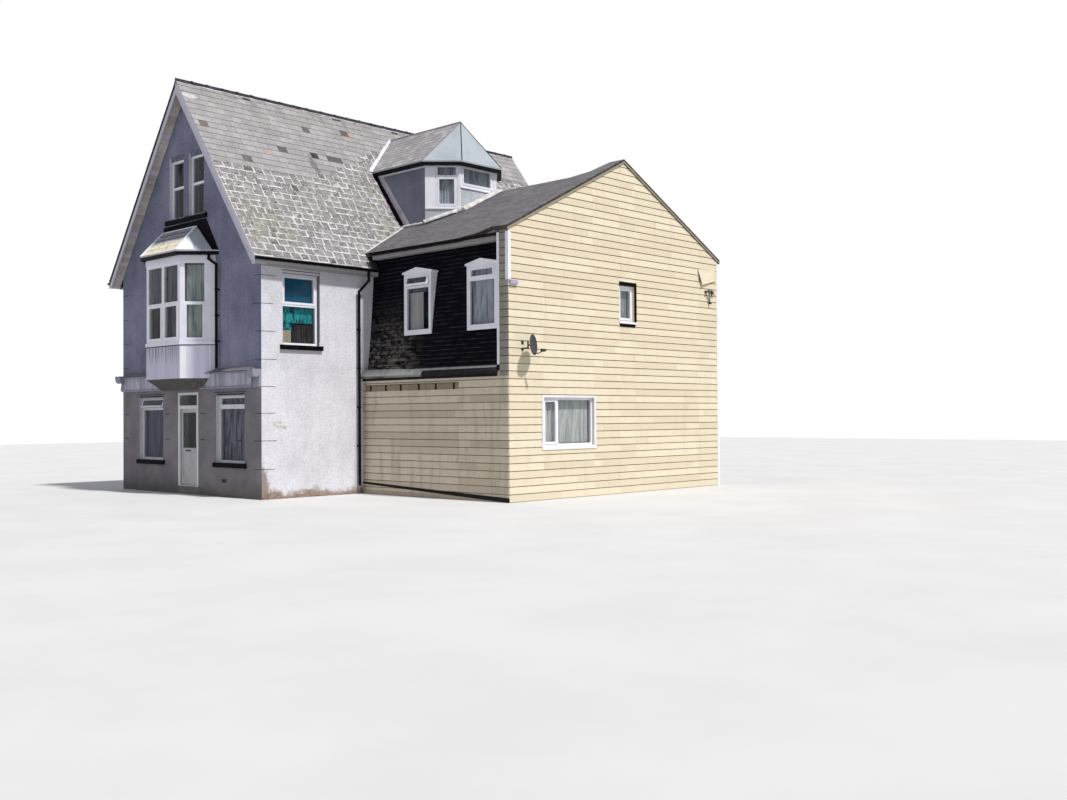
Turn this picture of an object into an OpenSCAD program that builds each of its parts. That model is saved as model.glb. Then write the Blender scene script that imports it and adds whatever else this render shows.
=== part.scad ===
// Corner shop building: a steep gabled house with a shop front and an oriel bay in its gable,
// a boarded cross wing along its side, and a canted dormer where the two roofs meet.
// The origin is the centre of the main house on the lowest ground, +Z up, front gable facing -X.

/* [Main house] */
// Length of the main house along its ridge
house_len = 11400; // [10800:50:12400]
// Width of the main house across its front gable
house_w = 6640; // [6300:20:7000]
// Thickness of the rendered masonry walls
wall_t = 280; // [220:10:340]
// Height of the main ridge slates above the lowest ground
ridge_z = 10330; // [9900:10:10600]
// Pitch of the main roof in degrees
roof_pitch = 53.35; // [50:0.05:55]
// Thickness of the main roof, square to its slope
roof_t = 95; // [70:5:130]
// Overhang of the main roof past both gables
verge_over = 300; // [200:10:400]
// Overhang of the main roof past its side walls
eaves_over = 200; // [150:10:260]

/* [Floors] */
// Top of the ground floor, level with the door sill
ground_floor_z = 200; // [150:5:230]
// Top of the first floor
first_floor_z = 2950; // [2900:10:3000]
// Top of the attic floor
attic_floor_z = 5550; // [5450:10:5560]
// Thickness of the upper floors
floor_t = 200; // [150:10:250]

/* [Shop front] */
// Underside of the fascia, where the ground storey wall ends
shop_top_z = 2600; // [2580:5:2640]
// Height of the fascia board
fascia_h = 360; // [300:10:420]
// Projection of the fascia board from the wall
fascia_out = 100; // [80:5:140]
// Width of each scrolled console at the ends of the fascia
console_w = 260; // [200:10:300]
// Projection of the consoles
console_out = 235; // [200:5:280]
// Distance of the near shop window from the near corner
shop_right_from = 710; // [500:10:800]
// Width of the near shop window
shop_right_w = 1240; // [1000:10:1300]
// Distance of the doorway from the near corner
door_from = 2780; // [2700:10:2850]
// Width of the doorway
door_w = 970; // [930:5:1000]
// Distance of the far shop window from the near corner
shop_left_from = 4500; // [4400:10:4600]
// Width of the far shop window
shop_left_w = 1230; // [1100:10:1350]
// Sill height of the shop windows
shop_sill_z = 815; // [750:5:900]
// Head height of the shop windows
shop_head_z = 2470; // [2400:5:2520]
// Head height of the doorway
door_head_z = 2530; // [2500:5:2560]
// Height of the transom over the door
door_transom_z = 2150; // [2100:5:2200]
// Thickness of the door leaf
leaf_t = 45; // [38:1:55]
// Running gap round the door leaf
leaf_gap = 8; // [7:0.5:10]

/* [Windows] */
// Depth of the window frames
frame_d = 70; // [50:5:90]
// Width of the frame members and bars
frame_bar = 60; // [45:5:75]
// Depth of the reveals before the frames
reveal = 90; // [60:5:110]
// Thickness of the sealed glass units
glass_t = 20; // [12:1:28]
// Height of the sills
sill_h = 110; // [80:5:130]
// Projection of the sills
sill_out = 60; // [40:5:90]

/* [Side window] */
// Distance of the first floor side window from the front corner
side_win_from = 583; // [500:10:700]
// Width of the first floor side window
side_win_w = 1040; // [900:10:1200]
// Sill height of the first floor windows
side_win_z = 3600; // [3500:10:3700]
// Height of the first floor windows
side_win_h = 1700; // [1500:10:1720]

/* [Gable sashes] */
// Width of each attic sash
sash_w = 720; // [650:10:760]
// Gap between the two attic sashes
sash_gap = 230; // [180:10:300]
// Sill height of the attic sashes
sash_z = 6930; // [6850:10:7000]
// Height of the attic sashes
sash_h = 1630; // [1500:10:1700]

/* [Oriel bay] */
// Distance of the bay's middle from the near corner
bay_from = 3405; // [3350:5:3450]
// Half of the bay's width at the wall
bay_hw = 1415; // [1350:5:1450]
// Projection of the bay
bay_out = 600; // [520:10:660]
// Underside of the bay
bay_z = 2860; // [2840:5:2880]
// Underside of the bay's sill board
bay_sill_z = 3680; // [3600:10:3750]
// Head height of the bay windows
bay_head_z = 5690; // [5600:10:5750]
// Top of the bay walls
bay_top_z = 5930; // [5900:5:5960]
// Height of the bay roof
bay_roof_h = 720; // [650:10:780]
// Thickness of the bay walls
bay_t = 70; // [60:5:90]
// Overhang of the bay roof
bay_over = 130; // [100:5:160]

/* [Dormer] */
// Distance of the dormer's middle from the front gable
dormer_from = 6340; // [6200:20:6500]
// Half of the dormer's width over its cheeks
dormer_hw = 1320; // [1250:10:1380]
// Projection of the dormer past the side wall
dormer_out = 650; // [600:10:700]
// Height of the dormer's wall head
dormer_top_z = 8580; // [8520:10:8640]
// Height of the dormer's ridge
dormer_ridge_z = 9900; // [9800:10:9950]
// Thickness of the dormer walls
dormer_t = 100; // [80:5:130]
// Overhang of the dormer roof
dormer_over = 150; // [120:5:180]

/* [Wing] */
// Distance of the wing from the front gable
wing_from = 2947; // [2900:1:3050]
// Length of the main house that runs on past the wing
wing_rear_step = 370; // [250:10:500]
// Projection of the wing from the side wall
wing_d = 5085; // [4900:5:5200]
// Thickness of the boarded walls
wing_t = 200; // [150:10:240]
// Height of the wing's ridge where it meets the main roof
wing_ridge_z = 7985; // [7900:5:8050]
// Pitch of the wing roof in degrees
wing_pitch = 27; // [25:0.5:29]
// Thickness of the wing roof, measured upright
wing_roof_t = 100; // [80:5:130]
// Overhang of the wing roof past the heads of its side walls
wing_eaves = 220; // [180:10:260]
// Overhang of the wing roof past its gable
wing_verge = 40; // [30:5:80]
// Rise of the old roof towards the wing's gable
wing_lift = 185; // [100:5:220]
// Top of the lower boarded walls
wing_low_z = 2900; // [2850:10:2950]
// Set back of the leaning upper walls at their head
wing_lean = 410; // [350:10:450]
// Width of the upright corner beside the leaning wall
wing_pier_w = 335; // [300:5:400]
// Sill height of the wing's upper windows
wing_win_z = 3900; // [3850:10:4000]
// Height of the wing's upper windows
wing_win_h = 1400; // [1300:10:1450]
// Width of the wing's upper windows
wing_win_w = 900; // [800:10:920]
// Distance of the first upper window from the side wall
wing_win_first = 1600; // [1400:10:1700]
// Distance between the last upper window and the upright corner
wing_win_last = 60; // [55:5:90]
// Height of the ledge between the storeys
ledge_h = 130; // [100:5:160]
// Projection of the ledge
ledge_out = 90; // [60:5:110]

/* [Wing gable windows] */
// Distance of the big window from the wing's left corner
big_win_from = 1100; // [1000:5:1150]
// Width of the big window
big_win_w = 1760; // [1650:10:1950]
// Sill height of the big window
big_win_z = 1200; // [1100:10:1250]
// Height of the big window
big_win_h = 1120; // [1050:10:1250]
// Distance of the small window from the wing's left corner
small_win_from = 3853; // [3750:5:3950]
// Width of the small window
small_win_w = 590; // [500:10:650]
// Sill height of the small window
small_win_z = 4180; // [4100:10:4250]
// Height of the small window
small_win_h = 880; // [800:10:950]

/* [Rainwater goods] */
// Radius of the half round gutters
gutter_r = 55; // [45:1:65]
// Wall of the gutters and pipes
gutter_t = 4; // [3:0.5:6]
// Radius of the downpipes
pipe_r = 34; // [28:1:40]
// Distance of the side downpipe from the front gable
side_pipe_from = 2767; // [2740:1:2780]
// Distance of the bay downpipe from the bay
bay_pipe_gap = 185; // [100:5:200]
// Radius of the dish
dish_r = 230; // [200:5:260]

/* [Hidden] */
$fn = 24;

far = 20000;            // reach of a cutting solid past the building
eps = 1;                // reach of a cut past the face that it opens
seat = 0.3;             // running gap where a piece meets a sloping roof
front_x = -house_len / 2;
rear_x = house_len / 2;
side_y = -house_w / 2;
far_y = house_w / 2;
slope = tan(roof_pitch);
roof_tv = roof_t / cos(roof_pitch);
wing_slope = tan(wing_pitch);
wing_x0 = front_x + wing_from;
wing_x1 = rear_x - wing_rear_step;
wing_mid = (wing_x0 + wing_x1) / 2;
wing_y = side_y - wing_d;
mitre = tan(22.5);      // share of a thickness by which a canted corner moves when inset
bay_y = side_y + bay_from;
dormer_x = front_x + dormer_from;
shop_h = shop_head_z - shop_sill_z;

// Heights of the roof planes
function roof_top(y) = ridge_z - slope * abs(y);
function roof_under(y) = roof_top(y) - roof_tv;
function wing_top(x) = wing_ridge_z - wing_slope * abs(x - wing_mid);
wing_face_x = wing_x0 + wing_lean - ledge_out / 2;     // wall face at its head
wing_edge_x = wing_face_x - wing_eaves;                // edge of the wing roof
wing_head_z = wing_top(wing_face_x) - wing_roof_t;
wing_foot_z = wing_low_z + ledge_h;
foot_back = 155;        // set back of the leaning wall's foot where it meets the house
wing_bend = 1680;       // distance from the side wall at which that foot reaches the ledge
// Set back of the leaning wall at the share u of its height, at the house and past the bend
function set_back(u, house) = let (head = wing_lean - ledge_out / 2) house
    ? foot_back + (head - foot_back) * (1 - pow(1 - u, 1.6))
    : head * pow(u, 1.5);

// Windows: [left corner seen from outside, facing angle, width, height, bars across, bars up,
// lights with an opening sash as [column, row], width of its bars if not frame_bar, tilt of its
// sashes if they stand ajar]
function facing_front(y, z, w, h, mullions, transoms, sashes = []) =
    [[front_x + reveal, y + w, z], -90, w, h, mullions, transoms, sashes];
function facing_rear(y, z, w, h, mullions, transoms, sashes = []) =
    [[rear_x - reveal, y, z], 90, w, h, mullions, transoms, sashes];
function facing_side(x, z, w, h, mullions, transoms, sashes = []) =
    [[x, side_y + reveal, z], 0, w, h, mullions, transoms, sashes];
function facing_far(x, z, w, h, mullions, transoms, sashes = []) =
    [[x + w, far_y - reveal, z], 180, w, h, mullions, transoms, sashes];

shop_light = 0.2;       // share of a shop window above its transom
shop_ajar = 20;         // tilt of the far shop window's top light, which stands open
wing_ajar = 14;         // tilt of the top light of the first window in the leaning wall
shop_windows = [
    facing_front(side_y + shop_right_from, shop_sill_z, shop_right_w, shop_h,
        [], [shop_h * (1 - shop_light)], [[0, 1]]),
    concat(facing_front(side_y + shop_left_from, shop_sill_z, shop_left_w, shop_h,
        [], [shop_h * (1 - shop_light)], [[0, 1]]), [frame_bar, shop_ajar])
];
sash_y = [-sash_gap / 2 - sash_w, sash_gap / 2];
sash_windows = [
    for (y = sash_y) facing_front(y, sash_z, sash_w, sash_h, [], [sash_h / 2]),
    for (y = sash_y) facing_rear(y, sash_z, sash_w, sash_h, [], [sash_h / 2])
];
side_light = 0.56;      // share of a side window below its transom
rear_bay = house_w / 4; // distance of the rear windows' middles from the ridge line
first_windows = [
    facing_side(front_x + side_win_from, side_win_z, side_win_w, side_win_h,
        [], [side_win_h * side_light], [[0, 1]])
];
far_windows = [
    for (x = [front_x + side_win_from, -side_win_w / 2, rear_x - side_win_from - side_win_w])
        facing_far(x, side_win_z, side_win_w, side_win_h, [], [side_win_h * side_light],
            [[0, 1]]),
    for (x = [front_x + side_win_from, rear_x - side_win_from - side_win_w])
        facing_far(x, shop_sill_z, side_win_w, shop_h, [], [shop_h * side_light], [[0, 1]])
];
rear_windows = [
    for (y = [-rear_bay, rear_bay])
        facing_rear(y - side_win_w / 2, side_win_z, side_win_w, side_win_h,
            [], [side_win_h * side_light], [[0, 1]]),
    for (y = [-rear_bay, rear_bay])
        facing_rear(y - side_win_w / 2, shop_sill_z, side_win_w, shop_h,
            [], [shop_h * side_light], [[0, 1]])
];

// Box between two corners
module block(x, y, z) {
    translate([x[0], y[0], z[0]]) cube([x[1] - x[0], y[1] - y[0], z[1] - z[0]]);
}

// Outline in Y and Z drawn along X
module along_x(x, points) {
    translate([x[0], 0, 0]) rotate([90, 0, 90]) linear_extrude(x[1] - x[0]) polygon(points);
}

// Outline in X and Z drawn along Y
module along_y(y, points) {
    translate([0, y[1], 0]) rotate([90, 0, 0]) linear_extrude(y[1] - y[0]) polygon(points);
}

// Width of a window's bars, and the tilt of its sashes
function bar_of(s) = len(s) > 7 ? s[7] : frame_bar;
function tilt_of(s) = len(s) > 8 ? s[8] : 0;

// Share of a bar's width beside one light: all of an outer bar, half of an inner one
function bar_share(s, outer) = outer ? bar_of(s) : bar_of(s) / 2;

// Edges of one light [column, row] of a window, inset by t: [x, z]
function light_at(s, k, t) = let (
        xs = concat([0], s[4], [s[2]]),
        zs = concat([0], s[5], [s[3]]),
        i = k[0],
        j = k[1]
    ) [
        [xs[i] + bar_share(s, i == 0) + t, xs[i + 1] - bar_share(s, i == len(xs) - 2) - t],
        [zs[j] + bar_share(s, j == 0) + t, zs[j + 1] - bar_share(s, j == len(zs) - 2) - t]
    ];

// All lights of a window, and whether a light has an opening sash
function all_lights(s) = [for (i = [0:len(s[4])], j = [0:len(s[5])]) [i, j]];
function has_sash(s, k) = len([for (q = s[6]) if (q == k) 1]) > 0;

sash_bar = 45;          // width of the members of an opening sash
sash_lap = 8;           // cover of a sash over its frame
sash_proud = 12;        // projection of a sash before its frame

sash_d = 30;            // depth of an open sash behind its lap
sash_play = 3;          // gap round an open sash

// Openings between the bars of a window, in the window's own frame
module lights(s, y, sash_inset = 0) {
    for (k = all_lights(s)) {
        q = light_at(s, k, has_sash(s, k) && tilt_of(s) == 0 ? sash_inset : 0);
        block(q[0], y, q[1]);
    }
}

// Swings an opening light out about its head
module swung(s, k) {
    z = light_at(s, k, 0)[1][1];
    translate([0, 0, z]) rotate([-tilt_of(s), 0, 0]) translate([0, 0, -z]) children();
}

// Opening sashes that lap over their frame
module sashes(s) {
    for (k = s[6]) swung(s, k) {
        out = light_at(s, k, -sash_lap);
        body = light_at(s, k, sash_play);
        in = light_at(s, k, sash_bar);
        difference() {
            union() {
                block(out[0], [-sash_proud, 0], out[1]);
                if (tilt_of(s) > 0) block(body[0], [-eps, sash_d], body[1]);
            }
            block(in[0], [-sash_proud - eps, sash_d + eps], in[1]);
        }
    }
}

module window_at(s) {
    translate(s[0]) rotate([0, 0, s[1]]) children();
}

module window_frame(s) {
    window_at(s) {
        difference() {
            cube([s[2], frame_d, s[3]]);
            lights(s, [-eps, frame_d + eps], sash_bar);
        }
        sashes(s);
    }
}

module window_glass(s) {
    y = [(frame_d - glass_t) / 2, (frame_d + glass_t) / 2];
    window_at(s) for (k = all_lights(s)) {
        q = light_at(s, k, has_sash(s, k) ? sash_bar : 0);
        if (has_sash(s, k) && tilt_of(s) > 0)
            swung(s, k) block(q[0] + [seat, -seat], [0, glass_t], q[1] + [seat, -seat]);
        else
            block(q[0], y, q[1]);
    }
}

// Hole for a window through a wall of thickness t
module window_hole(s, t) {
    window_at(s) block([0, s[2]], [-t, t], [0, s[3]]);
}

// Sill on the wall face under a window that is set back in its reveal
module window_sill(s, ends) {
    window_at(s) block([-ends, s[2] + ends], [-reveal - sill_out, -reveal], [-sill_h, 0]);
}

// Canted outline of the bay, inset by t, with the wall along its first and last points
function bay_points(t) = [
    [-bay_hw + t * sqrt(2), 0], [-(bay_hw - bay_out) + t * mitre, -bay_out + t],
    [bay_hw - bay_out - t * mitre, -bay_out + t], [bay_hw - t * sqrt(2), 0]
];

// Canted outline of the dormer, inset by t, with cheeks that run back by deep
function dormer_points(t, deep) = [
    [-dormer_hw + t, deep], [-dormer_hw + t, t * mitre],
    [-(dormer_hw - dormer_out) + t * mitre, -dormer_out + t],
    [dormer_hw - dormer_out - t * mitre, -dormer_out + t],
    [dormer_hw - t, t * mitre], [dormer_hw - t, deep]
];

// Everything under the top of the near main roof slope, with the running gap over it
module under_main_roof() {
    translate([0, 0, seat]) along_x([-far, far], [
        [side_y - far, roof_top(side_y - far)], [0, ridge_z], [0, -far], [side_y - far, -far]
    ]);
}

// Everything under the top of the wing roof, with the running gap over it
module under_wing_roof() {
    translate([0, 0, seat]) along_y([wing_y - far, far], [
        [wing_mid - far, wing_top(wing_mid - far)], [wing_mid, wing_ridge_z],
        [wing_mid + far, wing_top(wing_mid + far)], [wing_mid, -far]
    ]);
}

// Outline up the leaning wall's face, moved in by t
lean_steps = 8;
function lean_points(t, house) = [for (i = [0:lean_steps]) let (u = i / lean_steps)
    [wing_x0 + set_back(u, house) + t, wing_foot_z + (wing_head_z - wing_foot_z) * u]];
function lean_ring(house) = let (back = lean_points(wing_t, house))
    concat(lean_points(0, house), [for (i = [lean_steps:-1:0]) back[i]]);
function mirrored_points(p) = [for (i = [len(p) - 1:-1:0]) [2 * wing_mid - p[i][0], p[i][1]]];

// Form of the wing's upper storey over its walls' faces, out from the side wall
module wing_storey_form() {
    left = concat(lean_points(-soffit_gap, true), [[wing_face_x - soffit_gap, ridge_z]]);
    along_y([side_y - 2 * eaves_over, side_y], concat(left, mirrored_points(left)));
}

// Solid ground floors, with the step in the doorway
module ground_floor() {
    color("dimgray") {
        block([front_x + wall_t, rear_x - wall_t], [side_y + wall_t, far_y - wall_t],
            [0, ground_floor_z]);
        block([front_x, front_x + wall_t], [door_y0, door_y1], [0, ground_floor_z]);
        block([wing_x0 + wing_t, wing_x1 - wing_t], [wing_y + wing_t, side_y],
            [0, ground_floor_z]);
    }
}

module first_floor() {
    z = [first_floor_z - floor_t, first_floor_z];
    color("burlywood") {
        block([front_x + wall_t, rear_x - wall_t], [side_y + wall_t, far_y - wall_t], z);
        block([wing_x0 + wing_t, wing_x1 - wing_t], [wing_y + wing_t, side_y],
            [wing_low_z - floor_t, wing_low_z]);
    }
}

// Attic floor of the house and ceiling of the wing
module attic_floor() {
    z = [attic_floor_z - floor_t, attic_floor_z];
    in = wing_lean + wing_t;
    color("burlywood") {
        block([front_x + wall_t, rear_x - wall_t], [side_y + wall_t, far_y - wall_t], z);
        block([wing_x0 + in, wing_x1 - in], [wing_y + wing_t, side_y], z);
    }
}

module front_wall_right() {
    color("slategray") difference() {
        block([front_x, front_x + wall_t], [side_y, side_y + door_from], [0, shop_top_z]);
        window_hole(shop_windows[0], wall_t);
    }
}

module front_wall_left() {
    color("slategray") difference() {
        block([front_x, front_x + wall_t], [side_y + door_from + door_w, far_y], [0, shop_top_z]);
        window_hole(shop_windows[1], wall_t);
    }
}

// Outline of a gable wall from the height z up to the underside of the roof
function gable_points(z) = [
    [side_y, z], [far_y, z], [far_y, roof_under(far_y) - seat], [0, roof_under(0) - seat],
    [side_y, roof_under(side_y) - seat]
];

module front_gable_wall() {
    color("slategray") difference() {
        union() {
            along_x([front_x, front_x + wall_t], gable_points(shop_top_z));
            block([front_x, front_x + wall_t], [door_y0, door_y1], [door_head_z, shop_top_z]);
        }
        for (i = [0, 1]) window_hole(sash_windows[i], wall_t);
        block([front_x - wall_t, front_x + 2 * wall_t],
            [bay_y - bay_hw + 2 * bay_t, bay_y + bay_hw - 2 * bay_t],
            [first_floor_z, bay_head_z - floor_t]);
    }
}

module rear_gable_wall() {
    color("lavender") difference() {
        along_x([rear_x - wall_t, rear_x], gable_points(0));
        for (i = [2, 3]) window_hole(sash_windows[i], wall_t);
        for (s = rear_windows) window_hole(s, wall_t);
    }
}

// Outline of a side wall from the ground to the underside of the roof
function side_points(y_out, y_in) = [
    [y_out, 0], [y_in, 0], [y_in, roof_under(y_in) - seat], [y_out, roof_under(y_out) - seat]
];

module side_wall() {
    color("lavender") difference() {
        along_x([front_x + wall_t, rear_x - wall_t], side_points(side_y, side_y + wall_t));
        for (s = first_windows) window_hole(s, wall_t);
    }
}

module far_side_wall() {
    color("lavender") difference() {
        along_x([front_x + wall_t, rear_x - wall_t], side_points(far_y, far_y - wall_t));
        for (s = far_windows) window_hole(s, wall_t);
    }
}

// One slope of the main roof, from its eaves to the ridge
module roof_slope() {
    y = side_y - eaves_over;
    along_x([front_x - verge_over, rear_x + verge_over], [
        [y, roof_under(y)], [0, roof_under(0)], [0, roof_top(0)], [y, roof_top(y)]
    ]);
}

// Opening through both roofs under the dormer
// It reaches back past the point where the wing's ridge meets the main roof
dormer_hole_back = house_w / 2 - (ridge_z - wing_ridge_z) / slope + 60;
module dormer_hole() {
    translate([dormer_x, side_y, 0]) linear_extrude(far)
        polygon(dormer_points(dormer_t, dormer_hole_back));
}

module main_roof_near() {
    color("darkgray") difference() {
        roof_slope();
        dormer_hole();
        wing_storey_form();
    }
}

module main_roof_far() {
    color("darkgray") mirror([0, 1, 0]) roof_slope();
}

ridge_leg = 60;         // width of each leg of a ridge tile
ridge_t = 35;           // thickness of the ridge tiles
ridge_tile = 450;       // length of a ridge tile
ridge_roll = 22;        // radius of the roll along the ridge
collar_t = 12;          // height of the collar at each joint
collar_w = 40;          // width of the collar at each joint
// Angled ridge tiles with a roll, along X over a ridge with the slope m
module ridge_run(length, m) {
    leg = ridge_leg * cos(atan(m));
    points = [[-leg, -leg * m], [0, 0], [leg, -leg * m],
        [leg, -leg * m + ridge_t], [0, ridge_t * 1.4], [-leg, -leg * m + ridge_t]];
    along_x([0, length], points);
    for (x = [0:ridge_tile:length - ridge_tile / 2])
        translate([x, 0, collar_t]) along_x([0, collar_w], points);
    translate([0, 0, ridge_t]) rotate([0, 90, 0]) cylinder(r = ridge_roll, h = length);
}

module ridge_tiles() {
    color("rosybrown") translate([front_x - verge_over, 0, ridge_z + seat])
        ridge_run(house_len + 2 * verge_over, slope);
}

// Bargeboards down both verges, with the soffit boards behind them
barge_t = 30;
barge_h = 330;
soffit_t = 25;
// Their feet are cut level with the underside of the eaves boards
module barge_pair() {
    y = side_y - eaves_over;
    foot = roof_under(y) - eaves_drop;
    heel = y + (barge_h - roof_tv - eaves_drop) / slope;
    for (side = [0, 1]) mirror([0, side, 0]) {
        along_x([0, barge_t], [
            [y, roof_under(y)], [y, foot], [heel, foot],
            [0, roof_under(0) - barge_h + roof_tv], [0, roof_under(0)]
        ]);
        along_x([barge_t, verge_over], [
            [y, roof_under(y)], [y, roof_under(y) - soffit_t],
            [0, roof_under(0) - soffit_t], [0, roof_under(0)]
        ]);
    }
}

module bargeboards() {
    color("gainsboro") {
        translate([front_x - verge_over, 0, 0]) barge_pair();
        translate([rear_x + verge_over, 0, 0]) mirror([1, 0, 0]) barge_pair();
    }
}

// Boxed eaves: a fascia board and a soffit under each side of the main roof
eaves_board_t = 25;
eaves_drop = 35;
module eaves_run(x) {
    y = side_y - eaves_over;
    z = roof_under(y);
    along_x(x, [
        [y, z], [y, z - eaves_drop], [side_y, z - eaves_drop],
        [side_y, z - eaves_drop + eaves_board_t], [y + eaves_board_t, z - eaves_drop + eaves_board_t],
        [y + eaves_board_t, roof_under(y + eaves_board_t)]
    ]);
}

module eaves_boards() {
    color("gainsboro") {
        difference() {
            eaves_run([front_x, rear_x]);
            wing_storey_form();
        }
        mirror([0, 1, 0]) eaves_run([front_x, rear_x]);
        wing_fascia();
        mirrored_wing() wing_fascia();
    }
}

wing_fascia_h = 190;    // height of the wing's fascia board
// Fascia and soffit under the left edge of the wing roof; the board fills up to the lifted slates
module wing_fascia() {
    y = [wing_y + wing_pier_w, side_y - eaves_over - 10];
    z = wing_top(wing_edge_x) - wing_roof_t;
    z0 = z - wing_fascia_h + wing_roof_t;
    y0 = wing_y - wing_verge;
    rise = [for (k = wing_steps) [y0 + k[0], z + k[1] * wing_lift - seat]];
    difference() {
        along_x([wing_edge_x, wing_edge_x + eaves_board_t], concat(
            rise, [[y[1], z - seat], [y[1], z0], [rise[0][0], z0]]));
        block([wing_edge_x - eps, wing_edge_x + 2 * eaves_board_t], [wing_y - far, y[0]],
            [0, ridge_z]);
    }
    u = (z0 - wing_foot_z) / (wing_head_z - wing_foot_z);
    block([wing_edge_x + eaves_board_t, wing_x0 + set_back(u, false) - soffit_gap], y,
        [z0, z0 + eaves_board_t]);
}
soffit_gap = 12;        // gap between the wing's soffit and the leaning wall

// Half round gutter, open at the top
module gutter_profile() {
    difference() {
        circle(r = gutter_r);
        circle(r = gutter_r - gutter_t);
        translate([-2 * gutter_r, 0]) square([4 * gutter_r, 2 * gutter_r]);
    }
}

// Gutter along X from x[0] to x[1] with its ends closed, its rim at the height z
module gutter_x(x, y, z) {
    translate([x[0], y, z]) rotate([90, 0, 90]) linear_extrude(x[1] - x[0]) gutter_profile();
    for (e = [x[0], x[1] - gutter_t]) translate([e, y, z]) rotate([90, 0, 90])
        linear_extrude(gutter_t) difference() {
            circle(r = gutter_r);
            translate([-2 * gutter_r, 0]) square([4 * gutter_r, 2 * gutter_r]);
        }
}

module gutter_y(y, x, z) {
    translate([x, y[0], z]) rotate([0, 0, 90]) gutter_x([0, y[1] - y[0]], 0, 0);
}

main_gutter_y = side_y - eaves_over - gutter_r;
main_gutter_z = roof_top(side_y - eaves_over) - 40;
wing_gutter_z = wing_top(wing_edge_x) - 30;
main_gutter_x = wing_face_x - soffit_gap;    // end of the side gutter at the leaning wall
gutter_w = 1.8 * gutter_r;   // width of the box gutters under the edges of bay and dormer
// Run of the dormer's gutter along its cheeks, up to the main roof
dormer_gutter_back = house_w / 2 - (ridge_z - dormer_top_z) / slope - 120;

// Box gutter round a canted front, from the outlines of its outer and inner sides
module canted_gutter(outer, outer_wall, inner_wall, inner) {
    h = 1.4 * gutter_r;
    translate([0, 0, -h]) difference() {
        linear_extrude(h) difference() {
            polygon(outer);
            polygon(inner);
        }
        translate([0, 0, gutter_t]) linear_extrude(h) difference() {
            polygon(outer_wall);
            polygon(inner_wall);
        }
    }
}

module gutters() {
    color("dimgray") {
        gutter_x([front_x - verge_over, main_gutter_x - 80], main_gutter_y, main_gutter_z);
        gutter_x([2 * wing_mid - main_gutter_x + 80, rear_x + verge_over],
            main_gutter_y, main_gutter_z);
        gutter_x([front_x - verge_over, rear_x + verge_over], -main_gutter_y, main_gutter_z);
        for (side = [0, 1]) translate([side * 2 * wing_mid, 0, 0]) mirror([side, 0, 0])
            gutter_y([wing_y + wing_pier_w, side_y - eaves_over - 10], wing_edge_x - gutter_r,
                wing_gutter_z);
        at_bay() translate([0, 0, bay_top_z]) canted_gutter(
            bay_points(-bay_over), bay_points(-bay_over + gutter_t),
            bay_points(-bay_over + gutter_w - gutter_t), bay_points(-bay_over + gutter_w));
        at_dormer() translate([0, 0, dormer_top_z]) canted_gutter(
            dormer_points(-dormer_over, dormer_gutter_back),
            dormer_points(-dormer_over + gutter_t, dormer_gutter_back + eps),
            dormer_points(-dormer_over + gutter_w - gutter_t, dormer_gutter_back + 2 * eps),
            dormer_points(-dormer_over + gutter_w, dormer_gutter_back + 2 * eps));
    }
}

// Upright pipe with clips that hold it to the wall in the direction of +Y
module clipped_pipe(z, clips) {
    translate([0, -pipe_off, z[0]]) cylinder(r = pipe_r, h = z[1] - z[0]);
    for (c = clips) translate([0, -pipe_off, c]) {
        cylinder(r = pipe_r + clip_t, h = clip_h);
        block([-clip_h / 2, clip_h / 2], [0, pipe_off], [0, clip_h]);
    }
}

// Heights of n clips spread evenly up a pipe
function clip_heights(z, n) = [for (i = [1:n]) z[0] + (z[1] - z[0]) * i / (n + 1)];

pipe_off = 80;          // distance of the pipes' middles from the wall
neck_drop = 560;        // drop of the side pipe's neck under its gutter
neck_run = 170;         // way of the side pipe's neck along the wall
outlet_drop = 100;      // upright end of the bay pipe under its outlet
bay_outlet = 150;       // distance of the bay pipe's outlet from the wall
bay_neck_drop = 330;    // drop of the bay pipe's neck under its gutter
pipe_foot = 140;        // height of the bay pipe's foot over the fascia
clip_h = 40;
clip_t = 8;
module downpipes() {
    neck_z = main_gutter_z - neck_drop;
    bay_neck_z = bay_top_z - bay_neck_drop;
    side_pipe_z = [ground_floor_z, neck_z];
    bay_pipe_z = [shop_top_z + fascia_h + pipe_foot, bay_neck_z];
    side_x = front_x + side_pipe_from;
    out_x = side_x + neck_run;
    elbow_z = roof_under(main_gutter_y) - eaves_drop - 1.5 * pipe_r;
    bay_pipe_y = bay_y - bay_hw - bay_pipe_gap;
    bay_out_y = bay_y - bay_hw - (bay_over - gutter_w / 2) * sqrt(2) + bay_outlet;
    bay_out_z = bay_top_z - 1.4 * gutter_r;
    color("dimgray") {
        translate([side_x, side_y, 0])
            clipped_pipe(side_pipe_z, clip_heights(side_pipe_z, 4));
        pipe_run([
            [side_x, side_y - pipe_off, neck_z],
            [out_x, main_gutter_y, elbow_z],
            [out_x, main_gutter_y, main_gutter_z - gutter_r]
        ]);
        translate([front_x, bay_pipe_y, 0]) rotate([0, 0, -90])
            clipped_pipe(bay_pipe_z, clip_heights(bay_pipe_z, 3));
        pipe_run([
            [front_x - pipe_off, bay_pipe_y, bay_neck_z],
            [front_x - bay_outlet, bay_out_y, bay_out_z - outlet_drop],
            [front_x - bay_outlet, bay_out_y, bay_out_z]
        ]);
    }
}

// Bent pipe through a short list of points
module pipe_run(points) {
    for (i = [0:len(points) - 2]) {
        a = points[i];
        b = points[i + 1];
        d = b - a;
        translate(a) rotate([0, acos(d[2] / norm(d)), atan2(d[1], d[0])])
            cylinder(r = pipe_r, h = norm(d));
        translate(a) sphere(r = pipe_r + 6);
    }
}

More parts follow.
